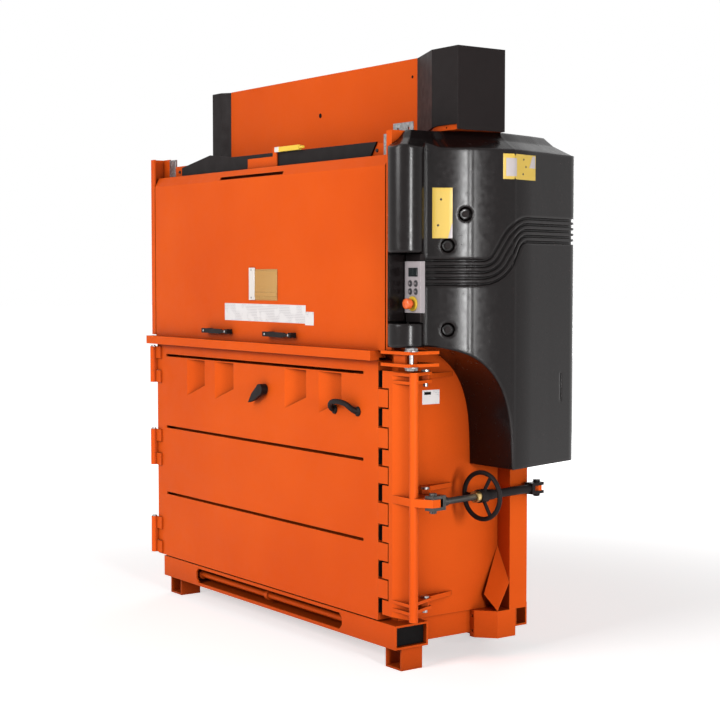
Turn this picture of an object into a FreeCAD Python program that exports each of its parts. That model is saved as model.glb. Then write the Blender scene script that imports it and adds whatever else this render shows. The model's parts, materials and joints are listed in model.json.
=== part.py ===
import FreeCAD, Part
import math
import os
import re
import Sketcher

# Upright recycling baler: a pressing chamber with a hinged bale door, a lifting loading
# hatch, two cylinder towers and a moulded side cover with the controls.
# Millimetres. X runs across the front, Y into the machine, Z up. While it is laid out,
# X = 0 is the middle of the chamber, Y = 0 the door's front face and Z = 0 the floor.
# At the end every piece moves by one common shift, so that the origin lies under the
# middle of the whole machine.

Vector = FreeCAD.Vector
Rotation = FreeCAD.Rotation

SIZES = {
    # chamber
    "wall_outer": 896, "wall_depth": 96, "sheet": 8, "wall_front": 66, "wall_rear": 640,
    "chamber_low": 178, "lower_high": 1200, "upper_high": 2000, "floor_thick": 24,
    "strap_near": 284, "strap_far": 533, "strap_wide": 22, "strap_deep": 10,
    "rib_high": 60, "rib_deep": 55, "seam": 0.3,
    # base
    "beam_low": 86, "beam_left": 46, "beam_right": 61, "beam_front": 5, "beam_rear": 163,
    "window_left": 348, "window_right": -289, "window_low": 100, "window_high": 165,
    "window_chamfer": 18, "window_bar": 25, "bar_back": 45, "bar_level": 130,
    "collar_plate": 10, "collar_left": 256, "collar_right": -196,
    "beam_inset": 7, "foot_wide": 100, "foot_front": 40, "foot_rear": 140, "rear_foot_left": -296,
    "rear_foot_front": 5, "rear_foot_depth": 58, "rear_beam_half": 21, "rear_beam_rear": 63,
    "sill_inner": -106, "sill_outer": -8,
    "outrigger_low": 70, "outrigger_front": -213, "outrigger_bend": 19,
    "outrigger_side": -150, "outrigger_rear": -58, "outrigger_reach": 89,
    "outrigger_hole": 12, "hole_inset": 14,
    "column_front": -78, "column_crease": -90, "column_rear": 0, "column_back": 50,
    "column_corner": 21, "column_high": 900,
    "gusset_high": 422, "gusset_side": 286, "gusset_near": 237,
    # bale door
    "door_left": 1, "door_right": -42, "door_low": 185, "door_high": -24,
    "door_depth": -1, "tooth_reach": 20, "tooth_thick": 12, "tooth_gap": 6,
    "slot_left": 86, "slot_right": -136, "slot_high": 12,
    "slot_top": -74, "slot_mid": 792, "slot_low": 481,
    "pocket_half": 80, "pocket_high": -85, "pocket_left_low": -250,
    "pocket_right_low": -196, "pocket_deep": 42, "pocket_sheet": 4,
    "hinge_back": -12, "hinge_left": -16, "hinge_pin": 14, "hinge_barrel": 30,
    "hinge_level_low": 275, "hinge_level_mid": 690, "hinge_level_high": 1080,
    "barrel_half": 28, "hinge_leaf": 60, "pin_play": 0.08, "running_gap": 0.3,
    "strap_rear": 150,
    "lever_x": 53, "lever_z": -181, "lever_tip_x": -35, "lever_tip_z": -241,
    "lever_boss": 46, "lever_stand": 16, "lever_thick": 16, "lever_shaft": 18,
    "grip_left": -341, "grip_right": -161, "grip_low": -240, "grip_high": -200,
    "grip_proud": 45, "grip_rod": 20,
    # lock plate
    "lock_x": 89, "lock_y": 125, "lock_left": 26, "web_start": 48, "web_deep": 26,
    "lock_low": 212, "lock_high": -60, "lock_thick": 12, "finger_reach": -14,
    "finger_2_high": 996, "finger_3_high": 841, "finger_4_high": 706,
    "finger_5_high": 551, "finger_6_high": 412,
    "finger_1_low": 1075, "finger_2_low": 928, "finger_3_low": 781,
    "finger_4_low": 642, "finger_5_low": 491, "finger_6_low": 351,
    "finger_7_high": 268, "lock_bar": 34, "lock_bar_x": 161, "lock_bar_y": 15,
    "flange_thick": 12, "flange_top": -75, "flange_bottom": 236, "flange_space": 18,
    "lock_pin": 20, "pin_head": 8, "bracket_rear": 330, "eye_half": 24,
    "guard_low": -40, "guard_high": 18, "guard_plate": 12, "guard_front": -22,
    "guard_rear": 125, "guard_reach": 172, "guard_left": 4,
    "catch_left": 64, "catch_right": 134, "catch_front": -6, "catch_rear": 50,
    "catch_pin_x": 154, "catch_pin_y": 8, "catch_pin": 16, "catch_pin_low": -52,
    "catch_pin_high": 30,
    # turnbuckle
    "axis_level": 660, "arm_half": 15, "front_bolt_x": 219, "front_bolt_y": 60,
    "rear_bolt_x": 128, "rear_bolt_y": 14, "bolt": 16, "bolt_play": 3,
    "tongue_half": 10, "fork_plate": 12, "fork_wide": 40, "front_rod": 25,
    "sleeve": 34, "wheel_place": 328, "wheel_radius": 98, "wheel_rim": 18,
    "hub_long": 44, "hub": 52, "spoke": 14, "nut": 44, "nut_long": 22,
    "rear_stub": 20, "rod_travel": 22,
    # loading hatch
    "hatch_left": -9, "hatch_right": 2, "hatch_low": 15, "hatch_bevel": -91,
    "hatch_high": -50, "hatch_step": 20, "hatch_sheet": 5, "hatch_depth": 30,
    "hatch_slot_left": -318, "hatch_slot_right": 190, "hatch_slot_low": -88,
    "hatch_slot_high": -75, "ledge_low": -22, "ledge_front": -42,
    "ledge_end_gap": -5, "ledge_left": -29, "ledge_right": -36,
    "handle_1_left": -414, "handle_1_right": -199, "handle_2_left": 92,
    "handle_2_right": 305, "handle_low": 44, "handle_high": 64,
    "handle_proud": 38, "handle_bar": 12, "handle_post": 22,
    "roller_wide": 18, "roller_gap": 7, "roller_axle": 12, "roller_foot_gap": 5.3,
    "roller_level_high": 1470,
    # hatch guides and the top of the front
    "guide_web": 45, "guide_flange": -26, "guide_lip": 12, "guide_sheet": 8,
    "guide_front": -2, "guide_low": 19, "guide_high": 37,
    "strip_inner": -85, "strip_low": -87, "strip_high": 33, "strip_sheet": 4,
    "rail_low": -85, "rail_sheet": 8,
    "front_sheet": 8, "switch_left": 80, "switch_right": 260, "switch_low": 10,
    "switch_high": 30, "switch_arm_left": -150, "switch_arm_high": -5,
    "zinc_left": -76, "zinc_right": 44, "zinc_low": 1, "zinc_high": 73,
    # press head
    "crown_half": 0, "crown_front": -37, "crown_rear": 17, "crown_thick": 12,
    "panel_half": 10, "panel_front": -9, "panel_sheet": 6, "panel_high": 350,
    "panel_hole": 16, "panel_hole_small": 8,
    "tower_outer": 24, "tower_front": -39, "tower_rear": 17, "tower_high": 349,
    "tower_sheet": 5, "right_tower_crease": 28, "right_tower_front": 200,
    "right_tower_outer": 184, "shoulder_sheet": 6, "shoulder_lip": 20,
    "notch_left": -81, "notch_full": 64, "lip_hole_x": 110, "lip_hole": 8,
    "ram_x": 5, "ram_y": 360, "barrel": 106, "ram_wall": 7, "ram_play": 0.3,
    "barrel_high": 342, "stage_long": 325, "plunger_high": 320,
    "platen_half": -107, "platen_front": 12, "platen_rear": -20, "platen_low": -100,
    "platen_high": -10, "platen_plate": 20,
    # side cover
    "cover_inner": 0.3, "cover_flat": 47, "cover_step": 122,
    "nose_x": 79, "nose_y": 40, "nose_radius": 70,
    "crease_x": 124, "crease_y": 110, "flank_x": 209, "flank_y": 243,
    "side_x": 255, "side_y": 421, "tail_x": 198, "tail_y": 8,
    "end_x": 166, "end_y": 140, "cover_rear": 210, "cover_corner": 70,
    "cover_edge": -31, "bevel_high": 7, "bevel_in": 60, "cover_top": 40,
    "top_in": 90, "cover_wall": 14, "cover_low": 760, "cover_nose_low": 32,
    "groove_level": 1509, "groove_rise": 160, "groove_start": 290, "groove_run": 210,
    "groove_radius": 100, "groove_pitch": 22, "groove_wide": 12, "groove_deep": 8,
    "recess_low": 1319, "recess_high": 1583, "recess_left": 48, "recess_right": 164,
    "recess_back": 75, "screw_recess": 54, "screw_recess_deep": 11, "screw_head": 24,
    "slot_cut_low": 1003, "slot_cut_high": 1113, "slot_cut_wide": 9, "slot_cut_deep": 6,
    # controls
    "panel_left": 52, "panel_right": 148, "control_low": 1359, "control_high": 1550,
    "control_front": 55, "display_left": 76, "display_right": 130,
    "display_low": 1494, "display_high": 1526, "display_thick": 2,
    "button": 15, "button_left": 85, "button_right": 119, "button_row_high": 1468,
    "button_row_low": 1438, "button_proud": 5, "button_long": 14, "button_play": 0.3,
    "stop_x": 102, "stop_level": 1393, "stop_ring": 55, "stop_ring_thick": 5,
    "stop_head": 40, "stop_stem": 20, "stop_proud": 33, "stop_long": 46,
    # pump set
    "tank_left": 9, "tank_right": 139, "tank_front": -190, "tank_rear": 0,
    "tank_high": 1400, "motor": 120, "motor_long": 220, "motor_fin": 136,
}

# These sizes are measured from the chamber's own faces: its right and left outer faces, its
# front and back edges, the top of its lower part and the top of its walls. The press head's
# are measured from the cylinders.
DATUMS = {
    "wall_outer": (
        "beam_right window_right collar_right rear_foot_left rear_beam_half sill_inner "
        "sill_outer outrigger_bend outrigger_reach column_corner door_right tooth_reach "
        "slot_right grip_left grip_right lock_x lock_left web_start finger_reach lock_bar_x "
        "guard_reach guard_left catch_left catch_right catch_pin_x front_bolt_x rear_bolt_x "
        "hatch_right ledge_right guide_web guide_flange guide_lip strip_inner zinc_left "
        "zinc_right crown_half right_tower_crease right_tower_outer notch_left notch_full "
        "lip_hole_x platen_half cover_inner cover_flat nose_x crease_x flank_x side_x tail_x "
        "end_x recess_left recess_right panel_left panel_right display_left display_right "
        "button_left button_right stop_x tank_left tank_right"),
    "-wall_outer": (
        "beam_left window_left collar_left door_left slot_left hinge_left hatch_left "
        "ledge_left"),
    "wall_front": "door_depth platen_front",
    "wall_rear": (
        "rear_foot_front rear_beam_rear outrigger_front outrigger_side outrigger_rear "
        "column_front column_crease column_rear column_back rear_bolt_y platen_rear tail_y "
        "end_y cover_rear tank_front tank_rear"),
    "lower_high": (
        "door_high slot_top pocket_high pocket_left_low pocket_right_low lever_z lever_tip_z "
        "grip_low grip_high lock_high flange_top guard_low guard_high catch_pin_low "
        "catch_pin_high hatch_low ledge_low handle_low handle_high guide_low cover_nose_low"),
    "upper_high": (
        "hatch_bevel hatch_high hatch_slot_low hatch_slot_high guide_high strip_low "
        "strip_high rail_low switch_low switch_high switch_arm_high zinc_low zinc_high "
        "panel_high tower_high barrel_high plunger_high platen_low platen_high cover_edge "
        "bevel_high cover_top"),
    "wall_outer - wall_depth - barrel / 2": "ram_x",
    "ram_x - barrel / 2": "panel_half",
    "ram_x + barrel / 2": "tower_outer",
    "ram_y - barrel / 2": "crown_front tower_front panel_front",
    "ram_y + barrel / 2": "crown_rear tower_rear",
}
DATUM_OF = {name: datum for datum, names in DATUMS.items() for name in names.split()}

# Where each strap channel, louvre and tooth repeats.
STRAP_PLACES = ("-strap_far", "-strap_near", "strap_near", "strap_far")
FINGERS = (("finger_1_low", "lock_high"), ("finger_2_low", "finger_2_high"),
           ("finger_3_low", "finger_3_high"), ("finger_4_low", "finger_4_high"),
           ("finger_5_low", "finger_5_high"), ("finger_6_low", "finger_6_high"),
           ("lock_low", "finger_7_high"))
HINGE_LEVELS = ("hinge_level_low", "hinge_level_mid", "hinge_level_high")
SCREW_PLACES = ((0.88, 1726), (0.46, 1608), (0.47, 1295))
SLOT_SHARE = 0.65
GROOVES = range(-2, 3)

doc = FreeCAD.newDocument("RecyclingBaler")
sheet = doc.addObject("Spreadsheet::Sheet", "Sizes")
nodes = []


def fill_sheet():
    for row, (alias, size) in enumerate(SIZES.items(), 1):
        sheet.set(f"A{row}", alias)
        sheet.set(f"B{row}", str(size))
        sheet.setAlias(f"B{row}", alias)
    doc.recompute()


def bound(text):
    """Turn the names of sizes in a formula into references to the sheet."""
    def reference(found):
        name = found.group(1)
        datum = DATUM_OF.get(name)
        if datum is None:
            return f"Sizes.{name}"
        return f"({bound(datum)} + Sizes.{name})"

    return re.sub(r"\b([a-z][a-z0-9_]+)\b(?!\()", reference, text)


def size(text):
    return float(sheet.evalExpression(bound(text)))


def joined(*pieces):
    item = doc.addObject("Part::Compound", "Pieces")
    item.Links = list(pieces)
    return item


def node(label, *pieces):
    """Make one named sub-part of one or several pieces."""
    if len(pieces) == 1 and not pieces[0].isDerivedFrom("Part::Primitive"):
        item = pieces[0]
    else:
        item = joined(*pieces)
    item.Label = label
    nodes.append(item)
    return item


# ---- primitives, profiles and cuts ----

def box(x, y, z):
    item = doc.addObject("Part::Box", "Block")
    for name, (low, high) in (("Length", x), ("Width", y), ("Height", z)):
        item.setExpression(name, bound(f"({high}) - ({low})"))
    for axis, (low, high) in zip("xyz", (x, y, z)):
        item.setExpression("Placement.Base." + axis, bound(low))
    return item


AXIS_TURN = {"x": Rotation(Vector(0, 1, 0), 90), "y": Rotation(Vector(1, 0, 0), -90),
             "z": Rotation()}


def rod(axis, across, low, high, diameter):
    """A round bar along one axis, centred on the two other coordinates."""
    item = doc.addObject("Part::Cylinder", "Rod")
    item.setExpression("Radius", bound(f"({diameter}) / 2"))
    item.setExpression("Height", bound(f"({high}) - ({low})"))
    item.Placement = FreeCAD.Placement(Vector(), AXIS_TURN[axis])
    place = dict(zip([a for a in "xyz" if a != axis], across))
    place[axis] = low
    for name, text in place.items():
        item.setExpression("Placement.Base." + name, bound(text))
    return item


def fuse(*pieces):
    item = doc.addObject("Part::MultiFuse", "Welded")
    item.Shapes = list(pieces)
    return item


def cut(base, *tools):
    item = doc.addObject("Part::Cut", "Cut")
    item.Base = base
    item.Tool = tools[0] if len(tools) == 1 else fuse(*tools)
    return item


def common(first, second):
    item = doc.addObject("Part::Common", "Shared")
    item.Base = first
    item.Tool = second
    return item


def mirrored(piece):
    """The same piece on the other side of the chamber's middle."""
    item = doc.addObject("Part::Mirroring", "OtherSide")
    item.Source = piece
    item.Normal = Vector(1, 0, 0)
    return item


def own_shape(shape):
    item = doc.addObject("Part::Feature", "Form")
    item.Shape = shape
    return item


def new_sketch(body, plane, level):
    """A sketch on one of the body's own origin planes, at a level along its normal."""
    origin_plane = next(p for p in body.Origin.OriginFeatures if p.Role == plane + "_Plane")
    sketch = body.newObject("Sketcher::SketchObject", "Profile")
    sketch.AttachmentSupport = [(origin_plane, "")]
    sketch.MapMode = "FlatFace"
    sign = "-1" if plane == "XZ" else "1"
    sketch.setExpression("AttachmentOffset.Base.z", bound(f"{sign} * ({level})"))
    return sketch


def fix_point(sketch, line, end, formulas, place):
    for kind, formula, distance in zip(("DistanceX", "DistanceY"), formulas, place):
        index = sketch.addConstraint(
            Sketcher.Constraint(kind, -1, 1, line, end, distance))
        sketch.setExpression(f"Constraints[{index}]", bound(formula))


def draw_loop(sketch, loop):
    places = [(size(a), size(b)) for a, b in loop]
    first = sketch.GeometryCount
    for start, end in zip(places, places[1:] + places[:1]):
        sketch.addGeometry(Part.LineSegment(Vector(*start, 0), Vector(*end, 0)))
    for step, formulas in enumerate(loop):
        follower = first + (step + 1) % len(loop)
        sketch.addConstraint(Sketcher.Constraint("Coincident", first + step, 2, follower, 1))
        fix_point(sketch, first + step, 1, formulas, places[step])


def draw_circle(sketch, across, up, diameter):
    place = (size(across), size(up))
    line = sketch.addGeometry(
        Part.Circle(Vector(*place, 0), Vector(0, 0, 1), size(diameter) / 2))
    fix_point(sketch, line, 3, (across, up), place)
    index = sketch.addConstraint(Sketcher.Constraint("Diameter", line, size(diameter)))
    sketch.setExpression(f"Constraints[{index}]", bound(diameter))


def draw(sketch, loops, circles):
    for loop in loops:
        draw_loop(sketch, loop)
    for circle in circles:
        draw_circle(sketch, *circle)


def add_pad(body, plane, loops, low, high, circles=()):
    """Pad closed loops between two levels; a loop inside another leaves a hole."""
    sketch = new_sketch(body, plane, high if plane == "XZ" else low)
    draw(sketch, loops, circles)
    pad = body.newObject("PartDesign::Pad", "Pad")
    pad.Profile = sketch
    pad.setExpression("Length", bound(f"({high}) - ({low})"))
    return body


def add_pocket(body, plane, loops, low, high, circles=()):
    sketch = new_sketch(body, plane, low if plane == "XZ" else high)
    draw(sketch, loops, circles)
    pocket = body.newObject("PartDesign::Pocket", "Pocket")
    pocket.Profile = sketch
    pocket.setExpression("Length", bound(f"({high}) - ({low})"))
    return body


def profile(plane, loops, low, high, circles=()):
    body = doc.addObject("PartDesign::Body", "Body")
    return add_pad(body, plane, loops, low, high, circles)


def rectangle(left, right, low, high):
    return [(left, low), (right, low), (right, high), (left, high)]


# ---- base ----

def front_beam():
    """A folded beam across the front, open at its right end, with a long window."""
    beam = profile("YZ", [rectangle("beam_front", "beam_rear", "beam_low", "chamber_low"),
                          rectangle("beam_front + sheet", "beam_rear - sheet",
                                    "beam_low + sheet", "chamber_low - sheet")],
                   "beam_left", "beam_right")
    add_pad(beam, "YZ", [rectangle("beam_front", "beam_rear", "beam_low", "chamber_low")],
            "beam_left", "beam_left + sheet")
    window = [("window_left", "window_low + window_chamfer"),
              ("window_left + window_chamfer", "window_low"),
              ("window_right - window_chamfer", "window_low"),
              ("window_right", "window_low + window_chamfer"),
              ("window_right", "window_high - window_chamfer"),
              ("window_right - window_chamfer", "window_high"),
              ("window_left + window_chamfer", "window_high"),
              ("window_left", "window_high - window_chamfer")]
    add_pocket(beam, "XZ", [window], "beam_front", "beam_front + sheet")
    node("front_beam", beam)


def window_bar():
    """The bar behind the window, held by a plate at each end."""
    pieces = [rod("x", ("bar_back", "bar_level"), "collar_left", "collar_right", "window_bar")]
    for place in ("collar_left", "collar_right - collar_plate"):
        pieces.append(box((place, f"{place} + collar_plate"),
                          ("beam_front + sheet", "beam_rear - sheet"),
                          ("beam_low + sheet", "chamber_low - sheet")))
    for place in ("window_left - 20", "0", "window_right"):
        pieces.append(rod("x", ("bar_back", "bar_level"), place, f"{place} + 20",
                          "window_bar + 16"))
    node("window_bar", fuse(*pieces))


def foot(left, right, front, rear):
    """A short square tube, open to the front and rear."""
    return profile("XZ", [rectangle(left, right, "0", "beam_low"),
                          rectangle(f"{left} + sheet", f"{right} - sheet", "sheet",
                                    "beam_low - sheet")], front, rear)


def feet():
    right = foot("beam_right - beam_inset - foot_wide", "beam_right - beam_inset",
                 "foot_front", "foot_rear")
    left = foot("beam_left", "beam_left + foot_wide", "foot_front", "foot_rear")
    rear = foot("rear_foot_left", "rear_foot_left + foot_wide", "rear_foot_front",
                "rear_foot_front + rear_foot_depth")
    node("feet", right, left, rear, mirrored(rear))


def base_frame():
    """The rear beam, and the sills that tie it to the front beam under each wall."""
    beam = profile("YZ", [rectangle("wall_rear", "rear_beam_rear", "beam_low", "chamber_low"),
                          rectangle("wall_rear + sheet", "rear_beam_rear - sheet",
                                    "beam_low + sheet", "chamber_low - sheet")],
                   "-rear_beam_half", "rear_beam_half")
    sill = profile("XZ", [rectangle("sill_inner", "sill_outer", "beam_low", "chamber_low"),
                          rectangle("sill_inner + sheet", "sill_outer - sheet",
                                    "beam_low + sheet", "chamber_low - sheet")],
                   "beam_rear", "wall_rear")
    node("base_frame", beam, sill, mirrored(sill))


def rear_columns():
    """Folded columns at the rear corners, chamfered towards the back."""
    outline = [("wall_outer", "column_front"), ("outrigger_reach", "column_crease"),
               ("outrigger_reach", "column_rear"), ("column_corner", "column_back"),
               ("wall_outer", "column_back")]
    inner = [("wall_outer + sheet", "column_front + 0.9 * sheet"),
             ("outrigger_reach - sheet", "column_crease + 1.1 * sheet"),
             ("outrigger_reach - sheet", "column_rear - sheet"),
             ("column_corner - sheet", "column_back - sheet"),
             ("wall_outer + sheet", "column_back - sheet")]
    column = profile("XY", [outline, inner], "chamber_low", "column_high")
    add_pad(column, "XY", [outline], "column_high - sheet", "column_high")
    node("rear_columns", column, mirrored(column))


def outriggers():
    """Widened feet under the columns, folded from plate and open below."""
    outline = [("sill_outer", "outrigger_front"), ("outrigger_bend", "outrigger_front"),
               ("outrigger_reach", "outrigger_side"), ("outrigger_reach", "outrigger_rear"),
               ("sill_outer", "outrigger_rear")]
    inner = [("sill_outer + sheet", "outrigger_front + sheet"),
             ("outrigger_bend - sheet / 2", "outrigger_front + sheet"),
             ("outrigger_reach - sheet", "outrigger_side + sheet / 2"),
             ("outrigger_reach - sheet", "outrigger_rear - sheet"),
             ("sill_outer + sheet", "outrigger_rear - sheet")]
    block = profile("XY", [outline], "outrigger_low", "chamber_low")
    add_pocket(block, "XY", [inner], "outrigger_low", "chamber_low - sheet")
    holes = [("sill_outer + hole_inset", level, "outrigger_hole")
             for level in ("outrigger_low + 24", "chamber_low - 24")]
    add_pocket(block, "XZ", [], "outrigger_front", "outrigger_front + sheet", holes)
    node("outriggers", block, mirrored(block))


def corner_gussets():
    """A folded triangle that braces each column's foot against the wall."""
    wall_side, foot_level = size("wall_outer + seam"), size("chamber_low + seam")
    top = Vector(wall_side, size("column_front - 0.5"), size("gusset_high"))
    side = Vector(size("outrigger_reach - 1"), size("column_crease - 0.5"),
                  size("gusset_side"))
    low = Vector(size("outrigger_reach - 1"), size("outrigger_side - 1"), foot_level)
    near = Vector(size("wall_outer + 23"), size("outrigger_side - 16"), size("gusset_near"))
    back = Vector(wall_side, size("column_front - 1"), foot_level)
    faces = [(top, near, low), (top, low, side), (top, side, back), (side, low, back),
             (low, near, back), (near, top, back)]
    shell = Part.Shell([Part.Face(Part.makePolygon(list(f) + [f[0]])) for f in faces])
    gusset = own_shape(Part.Solid(shell))
    node("corner_gussets", gusset, mirrored(gusset))


# ---- chamber ----

def wall_section():
    """Plan of a wall: outer sheet with a return at each edge."""
    return [("wall_outer", "wall_front"), ("wall_outer", "wall_rear"),
            ("wall_outer - wall_depth + sheet", "wall_rear"),
            ("wall_outer - wall_depth + sheet", "wall_rear - sheet"),
            ("wall_outer - sheet", "wall_rear - sheet"),
            ("wall_outer - sheet", "wall_front + sheet"),
            ("wall_outer - wall_depth + sheet", "wall_front + sheet"),
            ("wall_outer - wall_depth + sheet", "wall_front")]


def wall(low, high):
    """A hollow wall: the folded outer sheet welded to the chamber's flat liner."""
    outer = profile("XY", [wall_section()], low, high)
    liner = box(("wall_outer - wall_depth", "wall_outer - wall_depth + sheet"),
                ("wall_front", "wall_rear"), (low, high))
    rib = box(("wall_outer - wall_depth", "wall_outer"), ("wall_front", "wall_rear"),
              (f"{high} - sheet", high))
    return fuse(outer, liner, rib)


def chamber_walls():
    right = wall("chamber_low", "upper_high")
    node("chamber_side_left", mirrored(right))
    node("chamber_side_right", joined(right))


def strap_grooves(y, z):
    half = "strap_wide / 2"
    return [box((f"{place} - {half}", f"{place} + {half}"), y, z) for place in STRAP_PLACES]


def chamber_floor():
    """The floor plate with four channels for the bale's straps."""
    floor = box(("-wall_outer + wall_depth", "wall_outer - wall_depth"),
                ("wall_front", "wall_rear"), ("chamber_low", "chamber_low + floor_thick"))
    channels = strap_grooves(("wall_front", "wall_rear"),
                             ("chamber_low + floor_thick - strap_deep",
                              "chamber_low + floor_thick"))
    node("chamber_floor", cut(floor, *channels))


def chamber_back():
    """The back plate with ribs across its outside and the same strap channels."""
    back = box(("-wall_outer", "wall_outer"), ("wall_rear", "wall_rear + 2 * sheet"),
               ("chamber_low", "upper_high"))
    channels = strap_grooves(("wall_rear", "wall_rear + strap_deep"),
                             ("chamber_low + floor_thick", "lower_high"))
    ribs = []
    for level in ("300", "560", "820", "lower_high - 120", "upper_high - 600",
                  "upper_high - 300", "upper_high - 70"):
        ribs.append(box(("-wall_outer + 30", "wall_outer - 30"),
                        ("wall_rear + 2 * sheet", "wall_rear + rib_deep"),
                        (level, f"{level} + rib_high")))
    node("chamber_back", cut(fuse(back, *ribs), *channels))


# ---- bale door ----

def door_teeth():
    """Tabs of thicker plate, welded to the door's edge between the lock plate's fingers."""
    teeth = []
    for upper, lower in zip(FINGERS, FINGERS[1:]):
        teeth.append(box(("door_right + seam", "tooth_reach"), ("0", "tooth_thick"),
                         (f"{lower[1]} + tooth_gap", f"{upper[0]} - tooth_gap")))
    node("door_teeth", *teeth)


def louvre(place):
    """A finger pocket that slopes in from its left edge, with a slanting bottom."""
    left = f"{place} - pocket_half"
    right = f"{place} + pocket_half"
    slope = profile("XY", [[(left, "-1"), (left, "0"), (right, "pocket_deep"),
                            (right, "-1")]], "pocket_left_low", "pocket_high")
    outline = profile("XZ", [[(left, "pocket_left_low"), (right, "pocket_right_low"),
                              (right, "pocket_high"), (left, "pocket_high")]],
                      "-1", "pocket_deep")
    return common(slope, outline)


def bale_door():
    """The door: a front skin with folded edges, closed by a liner, slots for the straps."""
    door = profile("XZ", [rectangle("door_left", "door_right", "door_low", "door_high")],
                   "0", "door_depth")
    hollow = [rectangle("door_left + sheet", "door_right - sheet", "door_low + sheet",
                        "door_high - sheet")]
    for place in STRAP_PLACES:
        hollow.append(rectangle(f"{place} - pocket_half - pocket_sheet",
                                f"{place} + pocket_half + pocket_sheet",
                                "pocket_left_low - pocket_sheet",
                                "pocket_high + pocket_sheet"))
    add_pocket(door, "XZ", hollow, "sheet", "door_depth - sheet")
    slots = []
    for level in ("slot_top", "slot_mid", "slot_low"):
        slots.append(box(("slot_left", "slot_right"), ("-1", "door_depth + 1"),
                         (f"{level} - slot_high / 2", f"{level} + slot_high / 2")))
    pockets = [louvre(place) for place in STRAP_PLACES]
    bore = rod("y", ("lever_x", "lever_z"), "-1", "sheet + 1", "lever_shaft + 2 * pin_play")
    node("bale_door", cut(door, *slots, *pockets, bore))


def door_hinges():
    straps, leaves, pins = [], [], []
    centre = ("hinge_left", "hinge_back")
    bore = "hinge_pin + 2 * pin_play"
    for level in HINGE_LEVELS:
        low, high = f"{level} - barrel_half", f"{level} + barrel_half"
        strap = fuse(rod("z", centre, low, high, "hinge_barrel"),
                     box(("hinge_left + 7", "-wall_outer"), ("hinge_back", "strap_rear"),
                         (low, high)))
        straps.append(cut(strap, rod("z", centre, low, high, bore)))
        for start, end in ((f"{high} + running_gap", f"{high} + 2 * barrel_half"),
                           (f"{low} - 2 * barrel_half", f"{low} - running_gap")):
            leaf = fuse(rod("z", centre, start, end, "hinge_barrel"),
                        box(("hinge_left", "hinge_left + hinge_leaf"),
                            ("hinge_back + 4", "0"), (start, end)))
            leaves.append(cut(leaf, rod("z", centre, start, end, bore)))
        pin = rod("z", centre, f"{low} - 2 * barrel_half", f"{high} + 2 * barrel_half",
                  "hinge_pin")
        head = rod("z", centre, f"{high} + 2 * barrel_half + running_gap",
                   f"{high} + 2 * barrel_half + 6", "hinge_pin + 8")
        stem = rod("z", centre, f"{high} + 2 * barrel_half",
                   f"{high} + 2 * barrel_half + 2", "hinge_pin")
        pins.append(fuse(pin, stem, head))
    node("door_hinge_straps", *straps)
    node("door_hinge_leaves", *leaves)
    node("door_hinge_pins", *pins)


def door_lever():
    """A pointed lever on a boss; its shaft turns in the door's skin."""
    boss = rod("y", ("lever_x", "lever_z"), "-lever_stand - lever_thick", "-0.3",
               "lever_boss")
    shaft = rod("y", ("lever_x", "lever_z"), "-2", "sheet + 12", "lever_shaft")
    lean = math.atan2(size("lever_tip_z - lever_z"), size("lever_tip_x - lever_x"))
    centre = Vector(size("lever_x"), 0, size("lever_z"))
    tip = Vector(size("lever_tip_x"), 0, size("lever_tip_z"))
    side = Vector(-math.sin(lean), 0, math.cos(lean)) * size("lever_boss / 2 - 1")
    middle = centre * 0.45 + tip * 0.55
    waist = side * 0.75
    corners = [centre + side, middle + waist, tip, middle - waist, centre - side]
    face = Part.Face(Part.makePolygon(corners + corners[:1]))
    face.translate(Vector(0, -size("lever_stand + lever_thick"), 0))
    blade = own_shape(face.extrude(Vector(0, size("lever_thick"), 0)))
    node("door_lever", fuse(boss, shaft, blade))


def door_grip():
    """A bow grip on two feet."""
    level = "(grip_low + grip_high) / 2"
    feet = []
    for place in ("grip_left + 18", "grip_right - 18"):
        feet.append(rod("y", (place, level), "-grip_proud + grip_rod / 2", "0", "grip_rod"))
        feet.append(rod("y", (place, level), "-8", "0", "grip_high - grip_low"))
    bar = rod("x", ("-grip_proud + grip_rod / 2", level), "grip_left", "grip_right",
              "grip_rod + 6")
    node("door_grip", fuse(bar, *feet))


# ---- lock plate and turnbuckle ----

def eye_arm(outline, low, high, hole_x, hole_y, hole):
    return profile("XY", [outline], low, high, [(hole_x, hole_y, hole)])


def lock_fingers():
    """The lock plate's fingers, between the door's teeth."""
    return [box(("finger_reach", "lock_left - seam"), ("0", "lock_thick"), (low, high))
            for low, high in FINGERS]


def lock_web():
    """The lock plate's front strip and the web that slants back from it to the bar."""
    outline = [("lock_left", "0"), ("web_start", "0"), ("lock_bar_x - 3", "web_deep"),
               ("lock_bar_x - 7", "web_deep + 9"), ("web_start - 8", "lock_thick"),
               ("lock_left", "lock_thick")]
    return profile("XY", [outline], "lock_low", "lock_high")


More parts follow.
